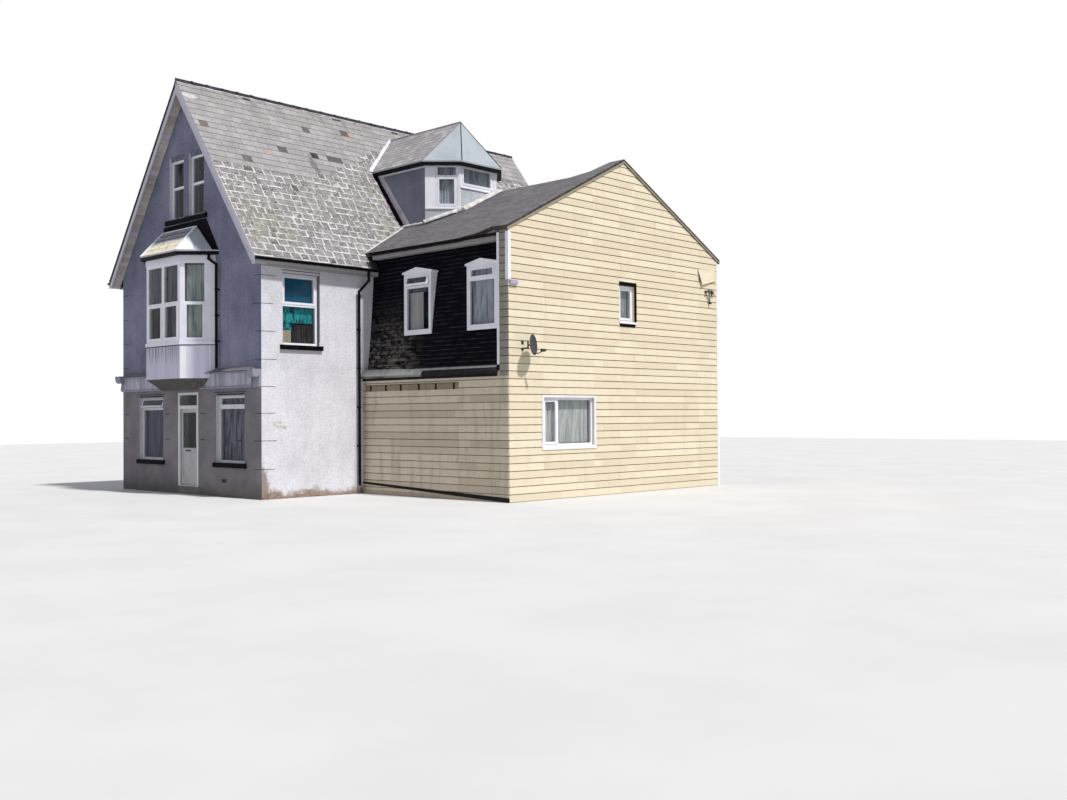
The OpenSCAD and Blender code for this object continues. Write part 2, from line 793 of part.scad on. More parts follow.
// Scrolled side outline of a console, projecting to -X from the wall
function console_points() = let (r = fascia_h / 4, z0 = shop_top_z, z1 = shop_top_z + fascia_h + 60)
    concat(
        [[0, z1], [-console_out, z1], [-console_out, z1 - 50]],
        [for (a = [0:20:180]) [-console_out + r + 10 - r * cos(a), z1 - 50 - r - r * sin(a) + 40]],
        [for (a = [0:15:90]) [-console_out / 3 * cos(a), z0 + 60 * (1 - sin(a))]]
    );

module shop_fascia() {
    z = [shop_top_z, shop_top_z + fascia_h];
    y = [side_y + console_w, far_y - console_w];
    color("lightgray") difference() {
        union() {
            block([front_x - fascia_out, front_x], y, z);
            block([front_x - fascia_out - 30, front_x - fascia_out], y, [z[0], z[0] + 35]);
            along_y(y, [
                [front_x, z[1]], [front_x, z[1] + 120], [front_x - fascia_out - 90, z[1] + 20],
                [front_x - fascia_out - 90, z[1]]
            ]);
        }
        at_bay() {
            bay_underside_form();
            translate([0, 0, bay_z]) linear_extrude(bay_top_z - bay_z) polygon(bay_points(0));
        }
    }
    color("lightgray") {
        for (e = [[side_y, side_y + console_w], [far_y - console_w, far_y]])
            along_y(e, [for (p = console_points()) [p[0] + front_x, p[1]]]);
    }
}

sill_end = 80;
module window_sills() {
    color("black") {
        for (s = concat(shop_windows, first_windows, far_windows, rear_windows))
            window_sill(s, sill_end);
        for (i = [1, 2]) window_at(sash_windows[i]) sash_sill();
        for (s = sash_windows) window_at(s) block([0, s[2]], [-sash_head_t, frame_d],
            [s[3] - sash_head, s[3]]);
    }
}

sash_head = 110;        // height of the head board over each attic sash
sash_sill_end = 145;    // reach of the sill past the attic sashes
sash_rail_up = 60;      // height of the meeting rails over the sashes' middles
sash_head_t = 30;       // projection of the head board before the frame
// Sill that runs under both sashes of a pair
module sash_sill() {
    x1 = 2 * sash_w + sash_gap;
    block([-sash_sill_end, x1 + sash_sill_end], [-reveal - sill_out, -reveal], [-sill_h, 0]);
}

// Doorway: frame, leaf and glass, the leaf hung on the far jamb and opening inwards
door_y0 = side_y + door_from;
door_y1 = door_y0 + door_w;
door_x = front_x;                           // outer face of the frame
stop_w = 15;                                // cover of the frame over the leaf's edge
jamb = 60;
leaf_x = door_x + 40;                       // outer face of the leaf
leaf_y0 = door_y0 + jamb;
leaf_y1 = door_y1 - jamb - leaf_gap;
leaf_z0 = ground_floor_z + 30;
leaf_z1 = door_transom_z - leaf_gap;
hinge_r = 9;
pin_r = 4;
pin_gap = 0.3;
hinge_x = leaf_x + leaf_t + hinge_r;
hinge_y = leaf_y1 + leaf_gap / 2;
hinge_h = 90;
hinge_zs = [leaf_z0 + 150, (leaf_z0 + leaf_z1) / 2, leaf_z1 - 150 - hinge_h];

module door_frame() {
    deep = leaf_x + leaf_t - door_x;
    color("whitesmoke") {
        difference() {
            block([door_x, door_x + deep], [door_y0, door_y1], [ground_floor_z, door_head_z]);
            block([door_x - eps, leaf_x - leaf_gap],
                [leaf_y0 + stop_w, leaf_y1 - stop_w], [ground_floor_z + 20, leaf_z1 - stop_w]);
            block([leaf_x - leaf_gap, door_x + deep + eps],
                [leaf_y0 - leaf_gap, leaf_y1 + leaf_gap], [ground_floor_z + 20, leaf_z1 + leaf_gap]);
            block([door_x - eps, door_x + deep + eps],
                [leaf_y0, leaf_y1], [door_transom_z + 60, door_head_z - jamb]);
        }
        for (z = hinge_zs) {
            for (k = [0, 2]) translate([hinge_x, hinge_y, z + k * hinge_h / 3])
                cylinder(r = hinge_r, h = hinge_h / 3);
            translate([hinge_x, hinge_y, z]) cylinder(r = pin_r, h = hinge_h);
            for (k = [0, 2]) block([leaf_x + leaf_t - 20, hinge_x],
                [hinge_y + hinge_r / 2, leaf_y1 + leaf_gap + 10],
                [z + k * hinge_h / 3, z + (k + 1) * hinge_h / 3]);
        }
    }
}

panel_z = 1150;
leaf_stile = 110;
module door_leaf() {
    color("whitesmoke") {
        difference() {
            union() {
                block([leaf_x, leaf_x + leaf_t], [leaf_y0, leaf_y1], [leaf_z0, leaf_z1]);
                for (z = hinge_zs) {
                    translate([hinge_x, hinge_y, z + hinge_h / 3 + pin_gap])
                        cylinder(r = hinge_r, h = hinge_h / 3 - 2 * pin_gap);
                    block([leaf_x + leaf_t, hinge_x], [leaf_y1 - 25, hinge_y - pin_r - 1],
                        [z + hinge_h / 3 + pin_gap, z + 2 * hinge_h / 3 - pin_gap]);
                }
            }
            block([leaf_x - eps, leaf_x + leaf_t + eps],
                [leaf_y0 + leaf_stile, leaf_y1 - leaf_stile], [panel_z, leaf_z1 - leaf_stile]);
            block([leaf_x - eps, leaf_x + 10],
                [leaf_y0 + leaf_stile, leaf_y1 - leaf_stile], [leaf_z0 + 200, panel_z - 130]);
            for (z = hinge_zs) translate([hinge_x, hinge_y, z])
                cylinder(r = pin_r + pin_gap, h = hinge_h);
        }
    }
}

module door_glass() {
    x = [leaf_x + (leaf_t - glass_t) / 2, leaf_x + (leaf_t + glass_t) / 2];
    color("lightblue", 0.5)
        block(x, [leaf_y0 + leaf_stile, leaf_y1 - leaf_stile], [panel_z, leaf_z1 - leaf_stile]);
}

module shop_window_frames() {
    color("whitesmoke") for (s = shop_windows) window_frame(s);
}

module shop_glass() {
    x = [door_x + 20, door_x + 20 + glass_t];
    color("lightblue", 0.5) {
        for (s = shop_windows) window_glass(s);
        block(x, [leaf_y0, leaf_y1], [door_transom_z + 60, door_head_z - jamb]);
    }
}

// The attic sashes stand under their head boards
hung_windows = [for (s = sash_windows)
    [s[0], s[1], s[2], s[3] - sash_head, s[4],
        [(s[3] - sash_head) / 2 + sash_rail_up], []]];
house_windows = concat(hung_windows, first_windows, far_windows, rear_windows);

module house_window_frames() {
    color("whitesmoke") for (s = house_windows) window_frame(s);
}

module house_glass() {
    color("lightblue", 0.5) for (s = house_windows) window_glass(s);
}

// Oriel bay, in its own frame: X runs towards the near corner and the bay projects to -Y
module at_bay() {
    translate([front_x, bay_y, 0]) rotate([0, 0, -90]) children();
}

bay_post = 45;          // corner post beside each front light
bay_side_bar = 32;      // width of the bars of the canted lights
bay_near = 85;          // post between a canted light and the front corner
bay_wall_post = 225;    // wide post between a canted light and the wall
bay_sill_h = 90;        // height of the bay's sill board
bay_sill_out = 30;      // projection of the bay's sill board
bay_head_out = 18;      // projection of the head board under the gutter
bay_facet = bay_out * sqrt(2);
bay_win_z = bay_sill_z + bay_sill_h;
bay_win_h = bay_head_z - bay_win_z;
bay_win_w = bay_hw - bay_out - bay_post;    // each of the two front windows
bay_side_w = bay_facet - bay_near - bay_wall_post;
bay_bar_z = bay_win_h * 0.49;
bay_windows = [
    for (x = [-bay_win_w, 0])
        [[x, -bay_out, bay_win_z], 0, bay_win_w, bay_win_h, [], [bay_bar_z], [[0, 0]]],
    [[-bay_hw + bay_wall_post / sqrt(2), -bay_wall_post / sqrt(2), bay_win_z], -45,
        bay_side_w, bay_win_h, [], [bay_bar_z], [[0, 0]], bay_side_bar],
    [[bay_hw - bay_out + bay_near / sqrt(2), -bay_out + bay_near / sqrt(2), bay_win_z], 45,
        bay_side_w, bay_win_h, [], [bay_bar_z], [[0, 0]], bay_side_bar]
];

module bay_ring(z, out = 0) {
    translate([0, 0, z[0]]) linear_extrude(z[1] - z[0]) difference() {
        polygon(bay_points(-out));
        polygon(concat([bay_points(bay_t)[0] + [0, eps]], bay_points(bay_t),
            [bay_points(bay_t)[3] + [0, eps]]));
    }
}

module bay_walls() {
    color("whitesmoke") at_bay() {
        difference() {
            bay_ring([bay_z, bay_top_z]);
            for (s = bay_windows) window_hole(s, bay_t + eps);
        }
        bay_ring([bay_sill_z, bay_win_z], bay_sill_out);
        bay_ring([bay_head_z + eps, bay_top_z - gutter_r * 1.4 - 5], bay_head_out);
        translate([0, 0, bay_z]) linear_extrude(first_floor_z - bay_z) polygon(bay_points(bay_t));
        translate([0, 0, bay_top_z - 60]) linear_extrude(60) polygon(bay_points(bay_t));
    }
}

module bay_underside() {
    color("tan") at_bay() bay_underside_form();
}

// Outline of the foot of the bay's tapered underside, just before the fascia
function bay_foot_points() = let (foot = fascia_out + 80, w = bay_hw - (bay_out - foot)) [
    [-w, 0], [-w + foot, -foot], [w - foot, -foot], [w, 0]
];

// Tapered form that shrinks from the bay's outline to its foot
module bay_underside_form() {
    hull() {
        translate([0, 0, bay_z - 1]) linear_extrude(1)
            polygon(bay_points(0));
        translate([0, 0, shop_top_z]) linear_extrude(1) polygon(bay_foot_points());
    }
}

module bay_window_frames() {
    color("white") at_bay() for (s = bay_windows) window_frame(s);
}

module bay_glass() {
    color("lightblue", 0.5) at_bay() for (s = bay_windows) window_glass(s);
}

bay_top_near = 595;     // reach of the bay roof's top edge towards the near corner
bay_top_far = 1085;     // reach of its top edge towards the far corner
module bay_roof() {
    edge = bay_points(-bay_over);
    color("silver") at_bay() hull() {
        translate([0, 0, bay_top_z]) linear_extrude(30) polygon(edge);
        block([-bay_top_far, bay_top_near], [-10, 0],
            [bay_top_z + bay_roof_h - 10, bay_top_z + bay_roof_h]);
    }
}

// Dormer, in its own frame: X along the main ridge, the dormer projects to -Y from the side wall
module at_dormer() {
    translate([dormer_x, side_y, 0]) children();
}

dormer_facet = dormer_out * sqrt(2);
dormer_panel = 270;     // white panel between a cheek and the window of the canted side
dormer_post = 50;       // post between that window and the front corner
dormer_side_w = dormer_facet - dormer_panel - dormer_post;
dormer_side_h = 1170;
dormer_edge = 25;       // post beside the front window
dormer_sill_drop = 25;  // depth of the front window's sill below the wing's ridge
dormer_head_z = dormer_top_z - 15;
dormer_front_w = 2 * (dormer_hw - dormer_out) - dormer_edge - 115;
dormer_front_h = dormer_head_z - wing_ridge_z + dormer_sill_drop;
dormer_windows = [
    [[-dormer_hw + dormer_out + dormer_edge, -dormer_out, dormer_head_z - dormer_front_h], 0,
        dormer_front_w, dormer_front_h, [], [], [[0, 0]]],
    [[-dormer_hw + dormer_panel / sqrt(2), -dormer_panel / sqrt(2),
        dormer_head_z - dormer_side_h], -45,
        dormer_side_w, dormer_side_h, [], [dormer_side_h * 0.71], [[0, 0]]],
    [[dormer_hw - dormer_out + dormer_panel / sqrt(2), -dormer_out + dormer_panel / sqrt(2),
        dormer_head_z - dormer_front_h], 45,
        dormer_side_w, dormer_front_h, [], [], [[0, 0]]]
];

module dormer_walls() {
    deep = house_w / 2;
    color("lightgray") difference() {
        at_dormer() linear_extrude(dormer_top_z) difference() {
            polygon(dormer_points(0, deep));
            polygon(concat(dormer_points(dormer_t, deep + eps)));
        }
        under_main_roof();
        under_wing_roof();
        at_dormer() for (s = dormer_windows) window_hole(s, dormer_t + 3);
    }
}

module dormer_window_frames() {
    color("whitesmoke") at_dormer() for (s = dormer_windows) window_frame(s);
}

module dormer_glass() {
    color("lightblue", 0.5) at_dormer() for (s = dormer_windows) window_glass(s);
}

dormer_roof_t = 90;
module dormer_roof() {
    color("darkgray") difference() {
        at_dormer() dormer_roof_form(0);
        at_dormer() translate([0, 0, -eps]) dormer_roof_form(dormer_roof_t);
        under_main_roof();
    }
}

// Faceted form of the dormer roof, sunk and inset by t for its inner side
module dormer_roof_form(t) {
    deep = house_w / 2 + t;
    hull() {
        translate([0, 0, dormer_top_z]) linear_extrude(t > 0 ? eps : 40)
            polygon(dormer_points(t > 0 ? dormer_t : -dormer_over, deep));
        translate([-5, 30 + t, dormer_ridge_z - 10 - 1.4 * t]) cube([10, deep - 30 - t, 10]);
    }
}

// Windows of the wing
wing_win_from = [wing_win_first, wing_d - wing_pier_w - wing_win_last - wing_win_w];
wing_side_windows = [for (i = [0, 1])
    [[wing_x0 + 20, side_y - wing_win_from[i], wing_win_z], -90, wing_win_w, wing_win_h,
        [], [wing_win_h * 0.77], [[0, 1]], frame_bar, i == 0 ? wing_ajar : 0]];
wing_gable_windows = [
    [[wing_x0 + big_win_from, wing_y + 40, big_win_z], 0, big_win_w, big_win_h, [520], [],
        [[0, 0]]],
    [[wing_x0 + small_win_from, wing_y + 60, small_win_z], 0, small_win_w, small_win_h, [], [],
        [[0, 0]]]
];

module wing_gable_wall() {
    top = wing_lift - wing_roof_t - seat;
    color("khaki") difference() {
        along_y([wing_y, wing_y + wing_t], [
            [wing_x0, 0], [wing_x1, 0], [wing_x1, wing_top(wing_x1) + top],
            [wing_mid, wing_ridge_z + top], [wing_x0, wing_top(wing_x0) + top]
        ]);
        for (s = wing_gable_windows) window_hole(s, wing_t + eps);
    }
}

module wing_low_wall() {
    block([wing_x0, wing_x0 + wing_t], [wing_y + wing_t, side_y], [0, wing_low_z]);
}

module mirrored_wing() {
    translate([2 * wing_mid, 0, 0]) mirror([1, 0, 0]) children();
}

module wing_left_wall() {
    color("darkkhaki") wing_low_wall();
}

module wing_right_wall() {
    color("darkkhaki") mirrored_wing() wing_low_wall();
}

// Stretch of the leaning wall that twists from its outline at the house to that past the bend
module wing_twist() {
    ends = [[side_y, lean_ring(true)], [side_y - wing_bend, lean_ring(false)]];
    n = len(ends[0][1]);
    polyhedron(
        points = [for (e = ends, p = e[1]) [p[0], e[0], p[1]]],
        faces = concat(
            [[for (i = [n - 1:-1:0]) i]], [[for (i = [0:n - 1]) n + i]],
            [for (i = [0:n - 1]) let (j = (i + 1) % n) [i, j, n + j]],
            [for (i = [0:n - 1]) let (j = (i + 1) % n) [i, n + j, n + i]]
        ));
}

// Leaning wall of the upper storey on its sole, with an upright pier at the gable end
module wing_upper_wall() {
    y = [wing_y + wing_pier_w, side_y];
    pier_z = wing_top(wing_x0) + wing_lift - wing_roof_t - seat;
    difference() {
        union() {
            along_y([y[0], side_y - wing_bend], lean_ring(false));
            wing_twist();
            block([wing_x0, wing_x0 + wing_t], y, [wing_low_z, wing_foot_z]);
            block([wing_x0, wing_x0 + wing_t], [wing_y + wing_t, y[0]], [wing_low_z, pier_z]);
        }
        for (s = wing_side_windows) window_at(s)
            block([0, s[2]], [-far, 2 * wing_lean + wing_t], [0, s[3]]);
    }
}

module wing_left_upper_wall() {
    color("dimgray") wing_upper_wall();
}

module wing_right_upper_wall() {
    color("dimgray") mirrored_wing() wing_upper_wall();
}

// Sloping ledge that throws water off the lower boards
module ledge_run() {
    along_y([wing_y + wing_pier_w, side_y], [
        [wing_x0, wing_low_z - 60], [wing_x0, wing_low_z + ledge_h],
        [wing_x0 - ledge_out, wing_low_z], [wing_x0 - ledge_out, wing_low_z - 60]
    ]);
}

module wing_ledges() {
    color("lightgray") {
        ledge_run();
        mirrored_wing() ledge_run();
    }
}

// Left slope of the wing roof; towards the gable it rises in short straight steps
wing_steps = [[0, 1], [450, 1], [1100, 0.3], [1800, 0]];
wing_corner_over = 60;  // overhang of the roof past the upright corner
function wing_section(x) = [[x, wing_top(x) - wing_roof_t], [wing_mid, wing_ridge_z - wing_roof_t],
    [wing_mid, wing_ridge_z], [x, wing_top(x)]];
module wing_slope_part() {
    y0 = wing_y - wing_verge;
    difference() {
        union() {
            for (i = [0:len(wing_steps) - 2]) hull() for (k = [i, i + 1])
                translate([0, 0, wing_lift * wing_steps[k][1]])
                    along_y([y0 + wing_steps[k][0], y0 + wing_steps[k][0] + 1],
                        wing_section(wing_edge_x));
            along_y([y0 + wing_steps[3][0], 0], wing_section(wing_edge_x));
            translate([0, 0, wing_lift])
                along_y([y0, wing_y + wing_pier_w + 15], wing_section(wing_x0 - wing_corner_over));
        }
        under_main_roof();
    }
}

module wing_roof_left() {
    color("gray") difference() {
        wing_slope_part();
        dormer_hole();
    }
}

module wing_roof_right() {
    color("gray") difference() {
        mirrored_wing() wing_slope_part();
        dormer_hole();
    }
}

// White cheeks and a small gabled head that box each window out of the leaning wall
cheek_t = 30;
head_over = 25;
module window_box(s) {
    deep = wing_lean + 60;
    rise = 140;
    window_at(s) {
        for (x = [-cheek_t, s[2]]) block([x, x + cheek_t], [-10, deep], [-60, s[3]]);
        block([-cheek_t, s[2] + cheek_t], [-10, deep], [-60, 0]);
        translate([0, deep, 0]) rotate([90, 0, 0]) linear_extrude(deep + 50) polygon([
            [-cheek_t - head_over, s[3]], [s[2] + cheek_t + head_over, s[3]],
            [s[2] + cheek_t + head_over, s[3] + 40],
            [s[2] / 2, s[3] + rise], [-cheek_t - head_over, s[3] + 40]
        ]);
    }
}

module wing_boxes() {
    difference() {
        for (s = wing_side_windows) window_box(s);
        wing_upper_wall();
    }
}

module wing_window_boxes() {
    color("white") {
        wing_boxes();
        mirrored_wing() wing_boxes();
    }
}

module wing_window_frames() {
    color("whitesmoke") {
        for (s = concat(wing_side_windows, wing_gable_windows)) window_frame(s);
        mirrored_wing() for (s = wing_side_windows) window_frame(s);
    }
}

module wing_glass() {
    color("lightblue", 0.5) {
        for (s = concat(wing_side_windows, wing_gable_windows)) window_glass(s);
        mirrored_wing() for (s = wing_side_windows) window_glass(s);
    }
}

trim_w = 70;
trim_t = 20;
trim_left_z = 4890;     // foot of the trim on the left corner, which has lost the rest
module corner_trims() {
    top = wing_top(wing_x0) + wing_lift - wing_roof_t - 60;
    color("white") for (k = [0, 1]) translate([k * 2 * wing_mid, 0, 0]) mirror([k, 0, 0]) {
        z = [k == 0 ? trim_left_z : 0, top];
        block([wing_x0 - trim_t, wing_x0 + trim_w], [wing_y - trim_t, wing_y], z);
        block([wing_x0 - trim_t, wing_x0], [wing_y, wing_y + trim_w], z);
        block([wing_x0 - trim_t, wing_x0], [wing_y + wing_pier_w - trim_w, wing_y + wing_pier_w],
            [wing_low_z + ledge_h + 5, top]);
    }
}

// Dish on an arm from a plate on the wing's gable
dish_from = 430;        // distance of the plate from the wing's left corner
dish_z = 3450;
dish_turn = 24;         // how far the dish looks round to the right
module satellite_dish() {
    x = wing_x0 + dish_from;
    y = wing_y - 180;
    color("gainsboro") {
        block([x - 40, x + 40], [wing_y - 12, wing_y], [dish_z - 110, dish_z + 110]);
        translate([x, wing_y - 12, dish_z - 60]) rotate([90, 0, 0]) cylinder(r = 18, h = 180);
        translate([x, y, dish_z - 70]) cylinder(r = 18, h = 160);
        translate([x, y, dish_z]) rotate([85, 0, dish_turn]) {
            cylinder(r = 16, h = 90);
            translate([0, 0, 85]) dish();
        }
    }
}

module dish() {
    rise = dish_r * 0.22;
    rotate_extrude($fn = 48) polygon(concat(
        [for (i = [0:6]) [dish_r * i / 6, rise * pow(i / 6, 2)]],
        [for (i = [6:-1:0]) [dish_r * i / 6, rise * pow(i / 6, 2) - 12]]
    ));
}

ground_floor();
first_floor();
attic_floor();
front_wall_right();
front_wall_left();
front_gable_wall();
side_wall();
far_side_wall();
rear_gable_wall();
main_roof_near();
main_roof_far();
ridge_tiles();
bargeboards();
eaves_boards();
gutters();
downpipes();
shop_fascia();
window_sills();
door_frame();
door_leaf();
door_glass();
shop_window_frames();
shop_glass();
house_window_frames();
house_glass();
bay_walls();
bay_underside();
bay_window_frames();
bay_glass();
bay_roof();
dormer_walls();
dormer_window_frames();
dormer_glass();
dormer_roof();
wing_gable_wall();
wing_left_wall();
wing_right_wall();
wing_left_upper_wall();
wing_right_upper_wall();
wing_ledges();
wing_roof_left();
wing_roof_right();
wing_window_boxes();
wing_window_frames();
wing_glass();
corner_trims();
satellite_dish();
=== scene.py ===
"""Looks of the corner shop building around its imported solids, all in metres."""
import math
import random

import bmesh
import bpy
from mathutils import Matrix, Vector


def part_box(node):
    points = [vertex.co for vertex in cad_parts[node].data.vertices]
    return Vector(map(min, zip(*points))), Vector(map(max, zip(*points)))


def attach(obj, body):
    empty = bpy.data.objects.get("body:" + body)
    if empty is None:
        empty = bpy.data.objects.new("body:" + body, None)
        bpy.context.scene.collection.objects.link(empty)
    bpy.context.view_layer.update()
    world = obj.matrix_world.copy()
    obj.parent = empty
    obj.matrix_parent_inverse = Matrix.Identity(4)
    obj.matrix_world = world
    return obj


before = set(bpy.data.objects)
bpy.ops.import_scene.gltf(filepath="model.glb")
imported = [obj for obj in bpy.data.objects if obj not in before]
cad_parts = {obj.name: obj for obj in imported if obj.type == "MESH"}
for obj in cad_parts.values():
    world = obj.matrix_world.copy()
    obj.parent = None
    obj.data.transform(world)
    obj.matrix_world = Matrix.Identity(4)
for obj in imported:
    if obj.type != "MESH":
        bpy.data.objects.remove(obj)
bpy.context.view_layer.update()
rng = random.Random(7)
UP = Vector((0, 0, 1))


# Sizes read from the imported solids, and those that they follow
def face(node, axis, high=False):
    """Place of a node's lowest or highest side along an axis, to the millimetre."""
    return round(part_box(node)[int(high)]["XYZ".index(axis)], 3)


def spread(node, axis):
    """Middle of a node along an axis, and half its width."""
    lo, hi = face(node, axis), face(node, axis, True)
    return round((lo + hi) / 2, 4), round((hi - lo) / 2, 4)


FRONT_X, REAR_X = face("front_gable_wall", "X"), face("rear_gable_wall", "X", True)
SIDE_Y, FAR_Y = face("side_wall", "Y"), face("far_side_wall", "Y", True)
RIDGE_Z = face("main_roof_near", "Z", True)
PITCH = math.radians(53.35)
VERGE = round(FRONT_X - face("main_roof_near", "X"), 3)
EAVES = round(SIDE_Y - face("main_roof_near", "Y"), 3)
SLOPE_LEN = (FAR_Y + EAVES) / math.cos(PITCH)
LEAN_HEAD, LEAN_FOOT, LEAN_BEND = 0.365, 0.155, 1.68
WING_X0, WING_X1 = face("wing_gable_wall", "X"), face("wing_gable_wall", "X", True)
WING_MID = (WING_X0 + WING_X1) / 2
WING_Y = face("wing_gable_wall", "Y")
WING_LIFT = 0.185
LIFT_STEPS = ((0, 1), (0.45, 1), (1.1, 0.3), (1.8, 0))
WING_RIDGE_Z = round(face("wing_roof_left", "Z", True) - WING_LIFT, 3)
WING_PITCH = math.radians(27)
WING_FACE_X = round(WING_X0 + LEAN_HEAD, 3)
WING_EDGE_X = round(WING_FACE_X - 0.22, 3)
WING_VERGE_Y = face("wing_roof_left", "Y")
WING_PIER_Y = face("wing_ledges", "Y")
WING_HEAD_Z = face("wing_left_upper_wall", "Z", True)
WING_FOOT_Z = face("wing_ledges", "Z", True)
WING_LOW_Z = 2.78
BAY_Y, BAY_HW = spread("bay_underside", "Y")
BAY_OUT = round(FRONT_X - face("bay_underside", "X"), 3)
BAY_UNDER_Z = face("bay_underside", "Z")
BAY_FOOT_Z = face("bay_underside", "Z", True)
BAY_SILL_Z = 3.68
BAY_EAVE_Z = 5.96
BAY_TOP_Z = face("bay_roof", "Z", True)
DORMER_X, DORMER_HW = spread("dormer_walls", "X")
DORMER_OUT = round(SIDE_Y - face("dormer_walls", "Y"), 3)
DORMER_TOP_Z = face("dormer_walls", "Z", True)
DORMER_SILL_Z, DORMER_EAVE_Z = 7.96, 8.62
DORMER_PEAK_Z = face("dormer_roof", "Z", True)
FASCIA_Z = 2.642
FRAME_D = 0.07
MITRE = math.tan(math.radians(22.5))
HALF = math.sqrt(0.5)


# Shapes
class Shape:
    """Closed prisms of one piece, gathered before its mesh is made."""

    def __init__(self):
        self.verts, self.faces, self.tints, self.heads = [], [], [], []

    def facets(self, points, faces):
        """Faces given by the places of their corners among the points."""
        base = len(self.verts)
        self.verts += [tuple(p) for p in points]
        self.tints += [0.5] * len(points)
        self.heads += [0.5] * len(points)
        self.faces += [tuple(base + k for k in corners) for corners in faces]

    def prism(self, front, back, tint=0.5, heads=None):
        """A closed solid between two loops of points, with a tint and shares up a course."""
        n, base = len(front), len(self.verts)
        self.verts += [tuple(p) for p in front] + [tuple(p) for p in back]
        self.tints += [tint] * (2 * n)
        self.heads += (heads or [0.5] * n) * 2
        self.faces.append(tuple(range(base, base + n)))
        self.faces.append(tuple(range(base + 2 * n - 1, base + n - 1, -1)))
        for i in range(n):
            j = (i + 1) % n
            self.faces.append((base + j, base + i, base + n + i, base + n + j))

    def box(self, lo, hi):
        corners = ((0, 0), (1, 0), (1, 1), (0, 1))
        self.prism(*[[(lo[0] + a * (hi[0] - lo[0]), lo[1] + b * (hi[1] - lo[1]), z)
                      for a, b in corners] for z in (hi[2], lo[2])])

    def tube(self, points, radius, sides=10):
        """A round bar along a line of points, closed at both ends."""
        rings = []
        for i, p in enumerate(points):
            a, b = points[max(i - 1, 0)], points[min(i + 1, len(points) - 1)]
            way = (Vector(b) - Vector(a)).normalized()
            side = way.cross(UP)
            side = side.normalized() if side.length > 1e-4 else Vector((1, 0, 0))
            up = side.cross(way)
            rings += [Vector(p) + radius * (math.cos(t) * side + math.sin(t) * up)
                      for t in (2 * math.pi * k / sides for k in range(sides))]
        faces = []
        for a in range(0, len(rings) - sides, sides):
            for k in range(sides):
                m = (k + 1) % sides
                faces.append((a + k, a + m, a + sides + m, a + sides + k))
        faces.append(tuple(reversed(range(sides))))
        faces.append(tuple(range(len(rings) - sides, len(rings))))
        self.facets(rings, faces)

    def make(self, name, paint, slot, body="building", bevel=0.0, smooth=False):
        """The piece made of all that was gathered, riding on a body."""
        mesh = bpy.data.meshes.new(name)
        mesh.from_pydata(self.verts, [], self.faces)
        for key, values in (("tint", self.tints), ("head", self.heads)):
            mesh.attributes.new(key, "FLOAT", "POINT").data.foreach_set("value", values)
        work = bmesh.new()
        work.from_mesh(mesh)
        bmesh.ops.recalc_face_normals(work, faces=work.faces)
        work.to_mesh(mesh)
        work.free()
        mesh.materials.append(PAINTS[paint])
        mesh.polygons.foreach_set("use_smooth", [smooth] * len(mesh.polygons))
        piece = add_object(name, mesh)
        if bevel:
            add_bevel(piece, bevel)
        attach(piece, body)
        return piece


def add_object(name, data):
    made = bpy.data.objects.new(name, data)
    bpy.context.scene.collection.objects.link(made)
    return made


def add_bevel(piece, width):
    """Rounded edges."""
    bevel = piece.modifiers.new("edges", "BEVEL")
    bevel.width = width
    bevel.segments = 2
    bevel.limit_method = "ANGLE"
    bevel.harden_normals = False


class Plane:
    """A flat or bent surface: u across, v along, d out of it."""

    def __init__(self, origin, u, v, bend=None):
        self.origin, self.u, self.v = Vector(origin), Vector(u).normalized(), Vector(v).normalized()
        self.n = self.u.cross(self.v).normalized()
        self.bend = bend

    def spot(self, u, v, d=0.0):
        """The point at a place of the surface, at a distance out of it."""
        p = self.origin + self.u * u + self.v * v + self.n * d
        return p + self.bend(u, v) if self.bend else p

    def uv(self, p):
        q = Vector(p) - self.origin
        return q.dot(self.u), q.dot(self.v)


def clip(poly, region):
    """The part of a polygon inside a convex region given counterclockwise."""
    for i, a in enumerate(region):
        b = region[(i + 1) % len(region)]
        side = [(b[0] - a[0]) * (p[1] - a[1]) - (b[1] - a[1]) * (p[0] - a[0]) for p in poly]
        kept = []
        for k, p in enumerate(poly):
            m = (k + 1) % len(poly)
            if side[k] >= 0:
                kept.append(p)
            if (side[k] >= 0) != (side[m] >= 0):
                t = side[k] / (side[k] - side[m])
                kept.append((p[0] + t * (poly[m][0] - p[0]), p[1] + t * (poly[m][1] - p[1])))
        poly = kept
        if len(poly) < 3:
            return []
    return poly


def area(poly):
    return abs(sum(a[0] * b[1] - b[0] * a[1] for a, b in zip(poly, poly[1:] + poly[:1]))) / 2


def counterclockwise(poly):
    turn = sum(a[0] * b[1] - b[0] * a[1] for a, b in zip(poly, poly[1:] + poly[:1]))
    return poly if turn > 0 else poly[::-1]


def add_cell(shape, plane, poly, front, tint=0.5, head=None):
    """A prism over a polygon of a plane. Its front lies at a height, or at front(u, v)."""
    if len(poly) < 3 or area(poly) < LEAST_CELL:
        return
    height = front if callable(front) else lambda u, v: front
    shape.prism([plane.spot(u, v, height(u, v)) for u, v in poly],
                [plane.spot(u, v, -CELL_BED) for u, v in poly], tint,
                [head(v) for u, v in poly] if head else None)


def rect(u0, u1, v0, v1):
    return [(u0, v0), (u1, v0), (u1, v1), (u0, v1)]


LEAST_CELL = 2e-5     # area under which a cell is dropped
CELL_BED = 0.002      # depth of a cell's back in what carries it
GABLE = Plane((0, WING_Y, 0), (1, 0, 0), UP)
FRONT = Plane((FRONT_X, 0, 0), (0, -1, 0), UP)
SIDE = Plane((0, SIDE_Y, 0), (1, 0, 0), UP)


# Materials
def rgb(r, g, b):
    """A colour written as on a screen, in linear light."""
    return tuple(c / 12.92 if c <= 0.04045 else ((c + 0.055) / 1.055) ** 2.4
                 for c in (r / 255, g / 255, b / 255)) + (1.0,)


